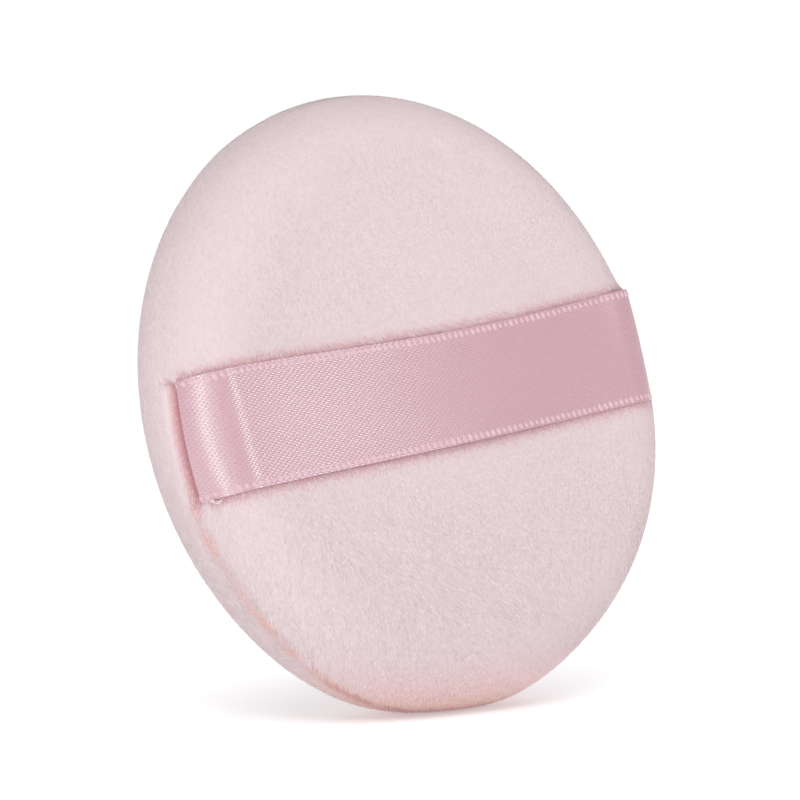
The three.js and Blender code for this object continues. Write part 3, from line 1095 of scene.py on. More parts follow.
class Pile:
    """Short tufts that stand on the covers and lean with the nap."""

    SIZES = {Side.FRONT: PileSizes(), Side.BACK: PileSizes(density=20.0)}
    SEED = 10
    ZONE_SEED = 5
    FLUFF_LEAN = -0.3
    FLATNESS = 0.35
    ROUND_FROM = (0.5, 1.1)
    # What a tuft's length is multiplied by: each source times a gain, plus a base.
    GAINS = {
        "clump": (0.5, 0.75),
        "rough": (0.55, 0.32),
        "draw": (1.0, 0.0),
        "press": (-0.45, 1.0),
        "fluff": (0.25, 1.0),
    }
    CLUMP_SHADE = -1.2
    STRAND_FROM = (0.45, 1.1)
    STRAND_SHARE = 0.3
    STRAND = 0.3
    FLOOR_GAP = 0.03
    ASIDE = 0.8
    UPRIGHT = 0.3
    # Range of each random draw, and what it adds to the seed.
    DRAWS = {
        "length": (0.7, 1.3, 35.0),
        "width": (0.75, 1.25, 46.0),
        "shade": (0.6, 1.4, 51.0),
        "glow": (-0.2, 0.2, 54.0),
        "blush": (-0.45, 0.45, 60.0),
        "strand": (-1.0, 1.0, 65.0),
    }
    # Tufts are Mid, unless one of these holds; the last that holds counts.
    PAINTS = (
        ("Pale", "shade", "LESS_THAN", 0.28),
        ("Deep", "shade", "GREATER_THAN", 0.62),
        # The next two paint lit and shaded strands.
        ("Light", "strand", "GREATER_THAN", 0.5),
        ("Dusk", "strand", "LESS_THAN", -0.5),
        # The next three paint warm bounce light, warm shade and deep shade near the floor and the lower
        # seam.
        ("Blush", "glow", "GREATER_THAN", 0.25),
        ("Salmon", "glow", "GREATER_THAN", 0.55),
        ("Rose", "glow", "GREATER_THAN", 1.0),
        # Painted pink reflection and shadow along the ribbon, and shade at its sewn ends.
        ("Flush", "blush", "GREATER_THAN", 0.5),
    )

    def __init__(self, shades: dict[str, Material], stance: Stance) -> None:
        """Keeps the shades by name and the stance, and builds the tree."""
        self.shades = shades
        self.stance = stance
        self.tree = self._tree()

    def _tree(self) -> NodeTree:
        """The geometry tree that stands tufts on a cover.

        Returns:
            The tree.
        """
        takes = {"Geometry": "Geometry", "Float": ", ".join([*asdict(PileSizes()), "zone"])}
        takes |= {"Int": "seed", "Material": ", ".join(self.shades)}
        nodes, inputs, end = new_tree("velour_pile", "Geometry", takes, {"Geometry": "Geometry"})
        nap, facing = (nodes.field(name, "FLOAT_VECTOR") for name in ("nap", "facing"))
        press, warm, rough, fluff, flush = map(nodes.field, ("press", "warm", "rough", "fluff", "flush"))
        draws = {name: self._draw(nodes, name, inputs["seed"]) for name in self.DRAWS}
        off_zone = nodes.math("SUBTRACT", nodes.field("zone"), inputs["zone"])
        chosen = nodes.math("LESS_THAN", nodes.math("ABSOLUTE", off_zone), 0.5)
        where = {"Mesh": inputs["Geometry"], "Selection": chosen, "Density": inputs["density"]}
        where["Seed"] = inputs["seed"]
        points = nodes.out("GeometryNodeDistributePointsOnFaces", where, "Points")

        # Tufts lean along the nap, swayed in clumps and a little each by itself.
        normal = nodes.vector("NORMALIZE", facing)
        grain = nodes.joined(inputs["clump_across"], inputs["clump_along"], inputs["clump_across"])
        place = nodes.vector("DIVIDE", nodes.out("GeometryNodeInputPosition"), grain)
        clump = nodes.noise(place, 1.0, 2.0)
        sway = nodes.vector("SUBTRACT", clump.outputs[1], (0.5, 0.5, 0.5))
        sway = nodes.scaled(sway, nodes.math("MULTIPLY", inputs["ruffle"], rough))
        loose = {0: (-1, -1, -1), 1: (1, 1, 1), "Seed": inputs["seed"]}
        stray = nodes.out("FunctionNodeRandomValue", loose, data_type="FLOAT_VECTOR")
        stray = nodes.scaled(stray, nodes.math("MULTIPLY", inputs["stray"], rough))
        lean = nodes.between(press, inputs["lean"], inputs["pressed_lean"])
        lean = nodes.math("MULTIPLY_ADD", fluff, self.FLUFF_LEAN, lean)
        upright = nodes.scaled(normal, nodes.math("SUBTRACT", 1.0, lean))
        along = nodes.vector("ADD", upright, nodes.scaled(nap, lean))
        along = nodes.vector("ADD", along, nodes.vector("ADD", sway, stray))
        turn = nodes.aligned("X", normal, nodes.aligned("Z", along), "Z")

        # Their length follows the clump, the fields and a draw.
        tall = inputs["length"]
        sources = {"clump": clump.outputs[0], "rough": rough, "draw": draws["length"]}
        sources |= {"press": press, "fluff": fluff}
        for name, (gain, base) in self.GAINS.items():
            tall = nodes.math("MULTIPLY", tall, nodes.math("MULTIPLY_ADD", sources[name], gain, base))
        wide = nodes.math("MULTIPLY", inputs["width"], draws["width"])
        size = nodes.joined(nodes.math("MULTIPLY", wide, self.FLATNESS), wide, tall)

        # Each root keeps the numbers that choose its shade; strands are the few with a painted highlight or
        # a painted shadow, in place of the shadows that the tufts don't cast.
        span = dict(enumerate((rough, *self.STRAND_FROM, 0.0, self.STRAND_SHARE)))
        rare = nodes.math("SUBTRACT", 1.0, nodes.out("ShaderNodeMapRange", span))
        apart = nodes.math("SUBTRACT", nodes.math("ABSOLUTE", draws["strand"]), rare)
        is_strand = nodes.math("GREATER_THAN", apart, 0.0)
        kept = {
            "root_normal": normal,
            "shade": nodes.math("MULTIPLY_ADD", clump.outputs[0], self.CLUMP_SHADE, draws["shade"]),
            # Painted warm bounce light and shade near the floor and the lower seam.
            "glow": nodes.math("ADD", warm, draws["glow"]),
            # Painted pink reflection and shadow along the ribbon, and shade at its sewn ends.
            "blush": nodes.math("ADD", flush, draws["blush"]),
            "strand": nodes.math("MULTIPLY", nodes.math("SIGN", draws["strand"]), is_strand),
        }
        for name, value in kept.items():
            kind = "FLOAT_VECTOR" if name == "root_normal" else "FLOAT"
            stored = {"Geometry": points, "Name": name, "Value": value}
            points = nodes.out("GeometryNodeStoreNamedAttribute", stored, data_type=kind, domain="POINT")

        cone = {"Vertices": 3, "Side Segments": 1, "Radius Top": 0.0, "Radius Bottom": 0.5, "Depth": 1.0}
        tuft = nodes.out("GeometryNodeMeshCone", cone, "Mesh", fill_type="NGON")
        sink = nodes.joined(z=nodes.math("MULTIPLY", inputs["root_depth"], -1.0))
        tuft = nodes.out("GeometryNodeTransform", {"Geometry": tuft, "Translation": sink})
        stand = {"Points": points, "Instance": tuft, "Rotation": turn, "Scale": size}
        made = nodes.realized(nodes.out("GeometryNodeInstanceOnPoints", stand))
        made = nodes.painted(made, inputs["Mid"])
        for shade, field, test, level in self.PAINTS:
            made = nodes.painted(made, inputs[shade], nodes.math(test, nodes.field(field), level))
        nodes.feed(end.inputs[0], made)
        return nodes.tree

    def _draw(self, nodes: Nodes, name: str, seed: Socket) -> Socket:
        """A random number for each tuft, by the name of its draw."""
        low, high, offset = self.DRAWS[name]
        inputs = {2: low, 3: high, "Seed": nodes.math("ADD", seed, offset)}
        return nodes.out("FunctionNodeRandomValue", inputs, 1, data_type="FLOAT")

    def stand_on(self, cover: Mesh, side: Side, zone: Zone) -> Object:
        """Stands the pile on one zone of a cover's skin.

        Args:
            cover: the skin, in the puff's millimetres, with the pile's fields on it.
            side: which cover.
            zone: which part of its face or rim.

        Returns:
            The pile's object, placed in the row frame.
        """
        name = f"{label(side)}_{label(zone)}_pile"
        values = asdict(self.SIZES[side]) | self.shades
        seed = self.SEED + side.value + self.ZONE_SEED * zone.value
        values |= {"seed": seed, "zone": float(zone.value)}
        mesh = grow(name, cover.copy(), self.tree, values)
        soft = self.shading(mesh)
        fields = "root_normal shade glow blush strand facing nap press warm flush rough fluff zone"
        for field in fields.split():
            if field in mesh.attributes:
                mesh.attributes.remove(mesh.attributes[field])
        places = self.stance.place(positions(mesh))
        places[:, 2] = np.maximum(places[:, 2], self.FLOOR_GAP * MM)
        move_to(mesh, places)
        mesh.normals_split_custom_set(soft @ self.stance.axes)
        made = add_object(name, mesh)
        made.visible_shadow = False
        return made

    def shading(self, mesh: Mesh) -> Array:
        """Soft shading normals of the tufts.

        A tuft shades as the cover under it does, with a share of its own roundness where the pile is rough.
        The faces that look along the cover or under it turn to where they look, or they would show black.

        Args:
            mesh: the tufts, all triangles, with the cover's normal stored at their roots.

        Returns:
            One normal for each corner of each face.
        """
        corner = gather(mesh.loops, "vertex_index", 1, np.int32)
        looks = np.repeat(gather(mesh.polygons, "normal"), 3, axis=0)
        root = gather(mesh.attributes["root_normal"].data, "vector")[corner]
        rise = np.sum(looks * root, 1, keepdims=True)
        aside = unit(self.ASIDE * root + unit(looks - rise * root))
        soft = np.where(rise < self.UPRIGHT, aside, root)
        rough = gather(mesh.attributes["rough"].data, "value", 1)
        strand = self.STRAND * smooth(rough, *self.ROUND_FROM)[corner, None]
        return unit((1 - strand) * soft + strand * gather(mesh.vertex_normals, "vector")[corner])


class Ribbon:
    """The satin ribbon across the front cover, sewn into the rim seam at both ends."""

    STEP = 0.12
    ROWS = 36
    FACE_POINTS = 160
    RIM_POINTS = 80
    TURN_POINTS = 40
    TAIL_POINTS = 12
    CREASES = (34.4, 35.0, 35.6, 36.2)
    CREASE_HEIGHT = 0.006
    CREASE_WIDTH = 0.14
    WAVE = 0.05
    WAVE_LENGTH = 5.3
    WAVE_SLANT = 0.8
    WAVE_START = 1
    EDGE_LIFT = 0.3
    LIFT_STARTS = (-3, 5)
    LIFT_ENDS = (6.5, 4.0)
    BOW_SPAN = 8
    SHARP = math.radians(50)
    BEAD_PITCH = 0.98
    BEAD_SIZE = (0.82, 1.15, 0.54)
    BEAD_INSET = 0.6
    BEAD_SLANT = 0.4
    BEAD_END = 1.0
    BEAD_VARY = (0.88, 1.1)
    BEAD_MESH = {"Segments": 8, "Rings": 6, "Radius": 0.5}
    BEAD_SEED = 5
    LIFT_FROM = 33.0
    LIFT_FULL = 3.0

    def __init__(self, sizes: RibbonSizes, cushion: CushionSizes, stance: Stance) -> None:
        """Keeps the sizes and works out the ribbon's line."""
        self.sizes = sizes
        self.cushion = cushion
        self.stance = stance
        tilt = sizes.slope / cushion.rim_radius
        self.lines = {
            RibbonEnd.LEFT: (self._half_line(sizes.turn_at + tilt), self._half_line(sizes.turn_at - tilt)),
            RibbonEnd.RIGHT: (self._half_line(sizes.turn_at),) * 2,
        }
        self.length = self.lines[RibbonEnd.RIGHT][0][1][-1]
        self.beads = self._bead_tree()

    def _half_line(self, turn_at: float) -> tuple[Array, Array]:
        """The ribbon's middle line from the puff's axis to its sewn end, seen from the side.

        Args:
            turn_at: angle round the rim at which the line turns into the seam.

        Returns:
            Rows of X, Z and the outward normal's X and Z, and the distance run along the line.
        """
        size, cushion = self.sizes, self.cushion
        gap = size.standoff + size.thickness / 2
        out = np.linspace(0, cushion.rim_centre, self.FACE_POINTS)
        flat = np.stack([out, cushion.face_rise(Side.FRONT, out) + gap], 1)
        angle = np.linspace(0, turn_at, self.RIM_POINTS)[1:]
        radius = cushion.rim_radius + gap - size.sink * smooth(angle, size.sink_from, turn_at)
        rim = np.stack([cushion.rim_centre + radius * np.sin(angle), radius * np.cos(angle)], 1)
        hub = rim[-1] - size.turn_radius * np.array([math.sin(turn_at), math.cos(turn_at)])
        angle = np.linspace(turn_at, math.pi, self.TURN_POINTS)[1:]
        turn = hub + size.turn_radius * np.stack([np.sin(angle), np.cos(angle)], 1)
        inside = turn[-1] - np.outer(np.linspace(0, size.tail, self.TAIL_POINTS)[1:], (1, 0))
        line = np.concatenate([flat, rim, turn, inside])
        along = unit(np.gradient(line, axis=0))
        run = np.concatenate([[0], np.cumsum(np.linalg.norm(np.diff(line, axis=0), axis=1))])
        return np.column_stack([line, -along[:, 1], along[:, 0]]), run

    def surface(self, end: RibbonEnd, run: Array, across: Array) -> tuple[Array, Array]:
        """The ribbon's middle surface on one half.

        Args:
            end: which half.
            run: distance from the ribbon's middle along it.
            across: distance from its middle line, up the puff.

        Returns:
            The points and their outward normals, in the puff's millimetres.
        """
        share = across / self.sizes.half
        rows = 0
        for (line, length), weight in zip(self.lines[end], ((1 - share) / 2, (1 + share) / 2)):
            place = run / self.length * length[-1]
            rows = rows + weight * np.stack([np.interp(place, length, column) for column in line.T])
        x, z, nx, nz = rows
        rim = self.cushion.rim_centre
        phase = end.value * run / self.WAVE_LENGTH + self.WAVE_SLANT * share + self.WAVE_START
        lift = self.WAVE * np.sin(phase) * share**2
        if end is RibbonEnd.RIGHT:
            leaves = 1 - smooth(run, *(self.length - stop for stop in self.LIFT_ENDS))
            starts = smooth(run, *(rim + start for start in self.LIFT_STARTS))
            lift = lift + self.EDGE_LIFT * share * starts * leaves
        else:
            for place in self.CREASES:
                lift = lift + self.CREASE_HEIGHT * hill(run, place, self.CREASE_WIDTH**2)
        x = x - self.sizes.bow * share**2 * smooth(run, rim, rim + self.BOW_SPAN)
        x = end.value * (x + nx * lift)
        y = self.sizes.middle_at(x) + share * self.sizes.half_at(x)
        points = np.stack([x, y, z + nz * lift], -1)
        return points, np.stack([end.value * nx, np.zeros_like(nx), nz], -1)

    def sheet(self, end: RibbonEnd, satin: Material) -> Object:
        """One half of the ribbon as a thin closed sheet.

        Args:
            end: which half.
            satin: the ribbon's finish.

        Returns:
            The object, placed in the row frame, with its weave map.
        """
        name = f"ribbon_{label(end)}_half"
        run = np.linspace(0, self.length, round(self.length / self.STEP) + 1)
        across = np.linspace(-self.sizes.half, self.sizes.half, self.ROWS + 1)
        u, v = (grid.ravel() for grid in np.meshgrid(run, across, indexing="ij"))
        points, _ = self.surface(end, u, v)
        wide = len(across)
        faces = []
        for i in range(len(run) - 1):
            for j in range(wide - 1):
                face = (i * wide + j, (i + 1) * wide + j, (i + 1) * wide + j + 1, i * wide + j + 1)
                faces.append(face if end is RibbonEnd.RIGHT else face[::-1])
        mesh = new_mesh(name, self.stance.place(points), faces)
        corner = gather(mesh.loops, "vertex_index", 1, np.int32)
        place = np.stack([0.5 + end.value * u / WEAVE_SPAN, 0.5 + v / WEAVE_SPAN], 1)
        mesh.uv_layers.new(name="weave").data.foreach_set("uv", place[corner].astype(np.float32).ravel())
        mesh.materials.append(satin)
        scratch = add_object(name, mesh)
        wall = scratch.modifiers.new("thickness", "SOLIDIFY")
        wall.thickness = self.sizes.thickness * MM
        wall.offset = 0.0
        made = baked(scratch)
        made.set_sharp_from_angle(angle=self.SHARP)
        return add_object(name, made)

    def _bead_tree(self) -> NodeTree:
        """The geometry tree that sets a bead at each step of a selvedge line.

        Returns:
            The tree.
        """
        takes = {"Geometry": "Geometry", "Float": "Pitch, Slant", "Vector": "Size", "Material": "Yarn"}
        nodes, inputs, end = new_tree("selvedge_beads", "Geometry", takes, {"Geometry": "Geometry"})
        line = nodes.resampled(inputs["Geometry"], inputs["Pitch"])
        turn = nodes.aligned("X", nodes.out("GeometryNodeInputTangent"))
        turn = nodes.aligned("Z", nodes.field("facing", "FLOAT_VECTOR"), turn, "X")
        slanted = {"Rotation": turn, "Rotate By": nodes.joined(z=inputs["Slant"])}
        turn = nodes.out("FunctionNodeRotateRotation", slanted, rotation_space="LOCAL")
        bead = nodes.out("GeometryNodeMeshUVSphere", self.BEAD_MESH)
        low, high = self.BEAD_VARY
        draw = {2: low, 3: high, "Seed": self.BEAD_SEED}
        vary = nodes.out("FunctionNodeRandomValue", draw, 1, data_type="FLOAT")
        size = nodes.scaled(inputs["Size"], vary)
        stand = {"Points": line, "Instance": bead, "Rotation": turn, "Scale": size}
        made = nodes.realized(nodes.out("GeometryNodeInstanceOnPoints", stand))
        nodes.feed(end.inputs[0], nodes.painted(made, inputs["Yarn"]))
        return nodes.tree

    def selvedge(self, end: RibbonEnd, yarn: Material) -> Object:
        """The beads along both edges of one half.

        Args:
            end: which half.
            yarn: the beads' finish.

        Returns:
            The object, placed in the row frame.
        """
        name = f"ribbon_{label(end)}_selvedge"
        run = np.arange(self.BEAD_PITCH / 2, self.length - self.BEAD_END, self.BEAD_PITCH / 3)
        edge = np.repeat([-1, 1], len(run)) * (self.sizes.half - self.BEAD_INSET)
        points, facing = self.surface(end, np.tile(run, 2), edge)
        mesh = new_mesh(name, points, edges=chain(len(run)) + chain(len(run), len(run)))
        write_field(mesh, "facing", facing)
        values = {"Pitch": self.BEAD_PITCH, "Size": self.BEAD_SIZE, "Slant": self.BEAD_SLANT, "Yarn": yarn}
        made = grow(name, mesh, self.beads, values)
        move_to(made, self.stance.place(positions(made)))
        return add_object(name, made)

    def build(self, end: RibbonEnd, satin: Material, yarn: Material) -> None:
        """Builds one half with its beads.

        Args:
            end: which half.
            satin: the ribbon's finish.
            yarn: the selvedge's finish.
        """
        half = self.sheet(end, satin)
        beads = self.selvedge(end, yarn)
        level = self.cushion.rim_radius
        held = self.stance.spot(end.value * self.LIFT_FROM, 0, level)
        free = self.stance.spot(end.value * self.LIFT_FULL, 0, level)
        for piece in (half, beads):
            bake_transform(piece)
            LOG.info("%s: %d faces", piece.name, len(piece.data.polygons))
        beads.visible_shadow = False
        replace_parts(half, f"ribbon_tail_{label(end)}", "ribbon_strap")


class Sewing:
    """The threads that hold the puff together."""

    THREAD = 0.4
    PLY_SHARE = 3.8
    PLY_APART = 0.9
    PLY_SIDES = 6
    TWIST = 1.5
    STEP = 0.25
    STITCH = 4.0
    STITCH_STEPS = 16
    STITCH_INSET = 2.6
    STITCH_DIP = 0.35
    ALLOWANCE = 0.9
    OVER_ALLOWANCE = 0.5
    CLOSING_LENGTH = 36.0
    CLOSING_PLACE = math.radians(-52)
    CLOSING_STITCH = 3.0
    CLOSING_SINK = 0.75
    CLOSING_SWING = 0.55
    CLOSING_POINTS = 400
    LOOSE_END = ((39.2, -0.1), (38.8, 0.35), (38.2, 0.5), (37.9, 0.2))
    LOOSE_POINTS = 16
    LOOSE_LIFT = 0.35
    LOOSE_WIDTH = 1.3

    def __init__(self, cushion: Cushion, thread: Material) -> None:
        """Keeps the cushion and the thread's finish, and builds the tree."""
        self.cushion = cushion
        self.thread = thread
        self.tree = self._tree()

    def _tree(self) -> NodeTree:
        """The geometry tree that spins a two-ply thread along a line.

        Returns:
            The tree.
        """
        takes = {"Geometry": "Geometry", "Float": "Step, Ply, Twist", "Material": "Yarn"}
        nodes, inputs, end = new_tree("two_ply_thread", "Geometry", takes, {"Geometry": "Geometry"})
        line = nodes.resampled(inputs["Geometry"], inputs["Step"])
        run = nodes.out("GeometryNodeSplineParameter", give="Length")
        tilt = nodes.math("MULTIPLY", nodes.math("DIVIDE", run, inputs["Twist"]), FULL_TURN)
        line = nodes.out("GeometryNodeSetCurveTilt", {"Curve": line, "Tilt": tilt})
        circle = {"Resolution": self.PLY_SIDES, "Radius": inputs["Ply"]}
        ring = nodes.out("GeometryNodeCurvePrimitiveCircle", circle, mode="RADIUS")
        plies = nodes.add("GeometryNodeJoinGeometry")
        for way in (-self.PLY_APART, self.PLY_APART):
            aside = nodes.joined(nodes.math("MULTIPLY", inputs["Ply"], way))
            ply = nodes.out("GeometryNodeTransform", {"Geometry": ring, "Translation": aside})
            nodes.feed(plies.inputs[0], ply)
        spun = {"Curve": line, "Profile Curve": plies.outputs[0], "Fill Caps": True}
        made = nodes.realized(nodes.out("GeometryNodeCurveToMesh", spun))
        nodes.feed(end.inputs[0], nodes.painted(made, inputs["Yarn"]))
        return nodes.tree

    def spin(self, name: str, line: Array, diameter: float) -> Object:
        """Spins a thread along a line of the puff.

        Args:
            name: the piece's name.
            line: the line's points, in the puff's millimetres.
            diameter: the thread's width, in millimetres.

        Returns:
            The thread, riding on the cushion.
        """
        values = {"Step": self.STEP, "Twist": self.TWIST, "Yarn": self.thread}
        values["Ply"] = diameter / self.PLY_SHARE
        made = grow(name, new_mesh(name, line, edges=chain(len(line))), self.tree, values)
        move_to(made, self.cushion.stance.place(positions(made)))
        piece = add_object(name, made)
        carry(piece)
        return piece

    def ring(self, angle: Array, radius: float, height: Array) -> Array:
        """Points round the puff's axis, at heights above the seam."""
        return about_axis(radius, angle, self.cushion.seam_height(angle) + height)

    def build(self) -> None:
        """Builds the machine seam's two threads and the hand-sewn closing stitch."""
        size = self.cushion.sizes
        groove = size.rim_centre + math.sqrt(size.rim_radius**2 - size.seam_offset**2) - size.groove_depth
        radius = groove - self.STITCH_INSET
        gap = self.CLOSING_LENGTH / radius
        count = round((FULL_TURN - gap) * radius / self.STITCH)
        share = np.linspace(0, count, count * self.STITCH_STEPS + 1)
        angle = self.CLOSING_PLACE + gap / 2 + (FULL_TURN - gap) * share / count
        dip = hill(np.abs(share - np.round(share)) * self.STITCH, 0, self.STITCH_DIP**2)
        run = self.ALLOWANCE + self.OVER_ALLOWANCE
        for name, way in (("seam_needle_thread", 1), ("seam_bobbin_thread", -1)):
            line = self.ring(angle, radius, way * (run - (run - self.STITCH_DIP) * dip))
            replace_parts(self.spin(f"{name}_spun", line, self.THREAD), name)
        radius = groove + size.groove_depth - self.CLOSING_SINK
        turns = self.CLOSING_LENGTH / self.CLOSING_STITCH
        share = np.linspace(-0.5, 0.5, self.CLOSING_POINTS)
        angle = self.CLOSING_PLACE + share * self.CLOSING_LENGTH / radius
        line = self.ring(angle, radius, self.CLOSING_SWING * np.sin(FULL_TURN * turns * share))
        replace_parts(self.spin("closing_thread_spun", line, self.THREAD), "closing_thread")

    def loose_end(self, ribbon: Ribbon) -> None:
        """Builds the short thread end that shows below the ribbon's left end."""
        stops = range(len(self.LOOSE_END))
        places = np.linspace(0, stops[-1], self.LOOSE_POINTS)
        run, across = (np.interp(places, stops, values) for values in zip(*self.LOOSE_END))
        points, normals = ribbon.surface(RibbonEnd.LEFT, run, -ribbon.sizes.half - across)
        self.spin("thread_end_spun", points + normals * self.LOOSE_LIFT, self.THREAD * self.LOOSE_WIDTH)


class FoamCore:
    """The foam disc inside the covers."""

    INSET = 2.6
    NOTCH = 4.5
    NOTCH_FADE = (0.6, 3.0)
    NOTCH_EDGE = 2

    def __init__(self, cushion: Cushion) -> None:
        """Keeps the cushion that it fills."""
        self.cushion = cushion

    def build(self, foam: Material) -> None:
        """Builds the disc, with its rim drawn in for the seam allowances.

        Args:
            foam: the foam's finish.
        """
        points, faces, _ = self.cushion.bag(self.INSET)
        rim = self.cushion.sizes.rim_centre
        radius, angle = polar(points)
        from_seam = np.abs(points[:, 2] - self.cushion.seam_height(angle))
        on_rim = smooth(radius, rim - self.NOTCH_EDGE, rim + self.NOTCH_EDGE)
        notch = self.NOTCH * (1 - smooth(from_seam, *self.NOTCH_FADE)) * on_rim
        points[:, :2] *= (1 - notch / np.maximum(radius, 1))[:, None]
        points = self.cushion.rest_on_floor(points)
        mesh = new_mesh("foam_core_disc", self.cushion.stance.place(points), faces)
        mesh.materials.append(foam)
        piece = add_object("foam_core_disc", mesh)
        carry(piece)
        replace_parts(piece, "foam_core")


@dataclass(frozen=True)
class Softbox:
    """A soft light, placed right of, above and in front of the puff as the camera sees it, in metres."""

    name: str
    place: Triple
    size: tuple[float, float]
    power: float

    def hang(self, aim: Vector, directions: tuple[Vector, Vector, Vector]) -> None:
        """Hangs the light, facing the aim."""
        data = bpy.data.lights.new(self.name, "AREA")
        data.shape = "RECTANGLE"
        data.size, data.size_y = self.size
        data.energy = self.power
        made = bpy.data.objects.new(self.name, data)
        made.location = sum((way * far for way, far in zip(directions, self.place)), aim)
        made.rotation_euler = (aim - made.location).to_track_quat("-Z", "Y").to_euler()
        bpy.context.scene.collection.objects.link(made)


@dataclass(frozen=True)
class Studio:
    """Plain pale floor, soft light and the camera of the photograph's view."""

    azimuth: float = math.radians(-40.7)
    elevation: float = math.radians(4.0)
    distance: float = 0.58
    lens: float = 206.0
    sensor: float = 36.0
    clip_start: float = 0.01
    clip_end: float = 200.0
    aim_right: float = -0.00048
    aim_up: float = 0.00024
    floor_size: float = 60.0
    floor_colour: Colour = (0.85, 0.855, 0.86, 1)
    floor_roughness: float = 0.8
    sky: float = 0.47
    backdrop: float = 1.08
    # Painted light: the floor glows, and less close under the puff as a painted shadow.
    floor_glow: float = 0.6
    near_glow: float = 0.34
    glow_from: float = 0.015
    glow_full: float = 0.065
    softboxes: tuple[Softbox, ...] = (
        Softbox("key_softbox", (-0.1, 0.7, 0.55), (0.7, 0.7), 3.6),
        Softbox("front_softbox", (-0.13, 0.09, 0.73), (0.26, 0.2), 0.75),
        Softbox("fill_softbox", (0.48, 0.2, 0.55), (0.4, 0.4), 0.12),
        Softbox("side_softbox", (0.68, 0.24, 0.25), (0.17, 0.2), 0.66),
        Softbox("back_softbox", (0.2, 0.45, -0.6), (0.5, 0.5), 0.5),
    )

    def directions(self) -> tuple[Vector, Vector, Vector]:
        """The camera's right, up and backward directions."""
        a, e = self.azimuth, self.elevation
        back = Vector((math.sin(a) * math.cos(e), -math.cos(a) * math.cos(e), math.sin(e)))
        right = Vector((math.cos(a), math.sin(a), 0))
        return right, back.cross(right), back

    def camera(self, stance: Stance) -> None:
        """Sets the scene's camera on the puff."""
        right, up, back = self.directions()
        aim = Vector(stance.centre) + right * self.aim_right + up * self.aim_up
        data = bpy.data.cameras.new("photo_view")
        data.lens = self.lens
        data.sensor_width = self.sensor
        data.clip_start, data.clip_end = self.clip_start, self.clip_end
        made = bpy.data.objects.new("photo_view", data)
        made.location = aim + back * self.distance
        made.rotation_euler = (-back).to_track_quat("-Z", "Y").to_euler()
        bpy.context.scene.collection.objects.link(made)
        bpy.context.scene.camera = made

    def floor(self) -> None:
        """Lays the floor, whose glow is painted light, dimmer close under the puff as a painted shadow."""
        half = self.floor_size / 2
        corners = np.array([(-half, -half, 0), (half, -half, 0), (half, half, 0), (-half, half, 0)])
        made = add_object("studio_floor", new_mesh("studio_floor", corners, [(0, 1, 2, 3)]))
        finish = Finish("studio_floor")
        nodes = finish.nodes
        finish.set(Base_Color=self.floor_colour, Roughness=self.floor_roughness, Specular_IOR_Level=0.0)
        place = nodes.out("ShaderNodeTexCoord", give="Object")
        away = nodes.out("ShaderNodeVectorMath", {0: place}, "Value", operation="LENGTH")
        span = dict(enumerate((away, self.glow_from, self.glow_full, self.near_glow, self.floor_glow)))
        finish.set(Emission_Color=(1, 1, 1, 1), Emission_Strength=nodes.out("ShaderNodeMapRange", span))
        made.data.materials.append(finish.material)

    def light(self, stance: Stance) -> None:
        """Lights the puff with a white surround and the softboxes."""
        world = bpy.data.worlds.new("white_surround")
        world.use_nodes = True
        nodes = Nodes(world.node_tree)
        seen = nodes.out("ShaderNodeLightPath", give="Is Camera Ray")
        background = world.node_tree.nodes["Background"]
        background.inputs["Color"].default_value = (1, 1, 1, 1)
        nodes.feed(background.inputs["Strength"], nodes.between(seen, self.sky, self.backdrop))
        scene = bpy.context.scene
        scene.world = world
        scene.view_settings.view_transform = "Standard"
        for softbox in self.softboxes:
            softbox.hang(Vector(stance.centre), self.directions())


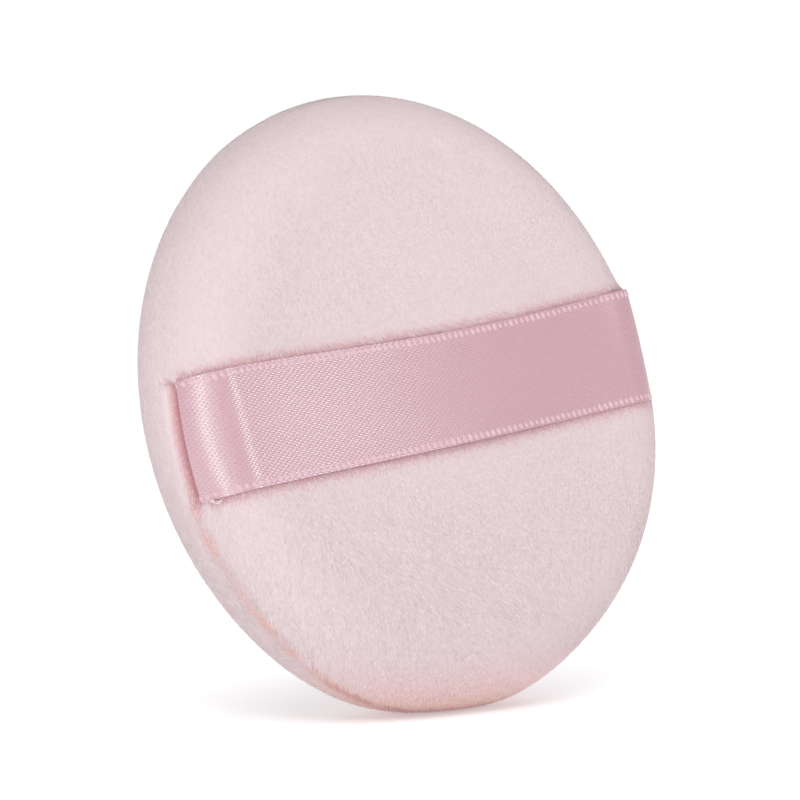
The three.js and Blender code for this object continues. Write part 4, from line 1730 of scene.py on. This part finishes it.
ROLL = math.radians(6.7)
SKIN = VelourSkin()
TUFTS = (
    VelourTuft("Pale", srgb(225, 209, 211)),
    VelourTuft("Mid", srgb(221, 204, 206)),
    VelourTuft("Deep", srgb(217, 199, 201)),
    # Painted lit and painted shaded strands.
    VelourTuft("Light", srgb(233, 219, 220)),
    VelourTuft("Dusk", srgb(209, 190, 192)),
    # Painted warm bounce light, warm shade and deep shade near the floor and the lower seam.
    VelourTuft("Blush", srgb(232, 206, 207)),
    VelourTuft("Salmon", srgb(232, 200, 191)),
    VelourTuft("Rose", srgb(218, 168, 170)),
    # Painted pink reflection and shadow along the ribbon, and shade at its sewn ends.
    VelourTuft("Flush", srgb(214, 174, 180)),
)
SATIN = Satin()
SELVEDGE = Yarn("selvedge_yarn", srgb(222, 192, 199), srgb(204, 166, 175))
THREAD = Yarn("sewing_thread", srgb(240, 220, 220), srgb(226, 196, 196))
FOAM = Foam()


def dress_covers(cushion: Cushion, pile: Pile, skin: Material) -> None:
    """Builds both covers with their pile.

    Args:
        cushion: the cushion's shapes.
        pile: the pile that stands on them.
        skin: finish of the ground under the pile.
    """
    for side, mesh in cushion.covers().items():
        cushion.fields(mesh, side)
        tufts = [pile.stand_on(mesh, side, zone) for zone in Zone]
        move_to(mesh, cushion.stance.place(positions(mesh)))
        mesh.materials.append(skin)
        cover = add_object(mesh.name, mesh)
        wall = cover.modifiers.new("wall", "SOLIDIFY")
        wall.thickness = cushion.sizes.wall * MM
        wall.offset = -1.0
        for piece in (cover, *tufts):
            carry(piece)
        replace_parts(cover, f"{label(side)}_cover")


def main() -> None:
    """Builds the puff and its studio."""
    logging.basicConfig(level=logging.INFO, format="%(name)s: %(message)s")
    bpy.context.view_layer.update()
    cushion_sizes, ribbon_sizes = CushionSizes(), RibbonSizes()
    stance = Stance.from_frame(cushion_sizes.rim_radius + cushion_sizes.back_crown, ROLL)
    studio = Studio()
    studio.camera(stance)
    studio.floor()
    studio.light(stance)
    groups = Groups()
    cushion = Cushion(cushion_sizes, ribbon_sizes, stance)
    pile = Pile({tuft.name: tuft.material() for tuft in TUFTS}, stance)
    dress_covers(cushion, pile, SKIN.material(groups))
    ribbon = Ribbon(ribbon_sizes, cushion_sizes, stance)
    satin, selvedge = SATIN.material(groups), SELVEDGE.material(groups)
    for end in RibbonEnd:
        ribbon.build(end, satin, selvedge)
    sewing = Sewing(cushion, THREAD.material(groups))
    sewing.build()
    sewing.loose_end(ribbon)
    FoamCore(cushion).build(FOAM.material(groups))


if __name__ == "__main__":
    main()
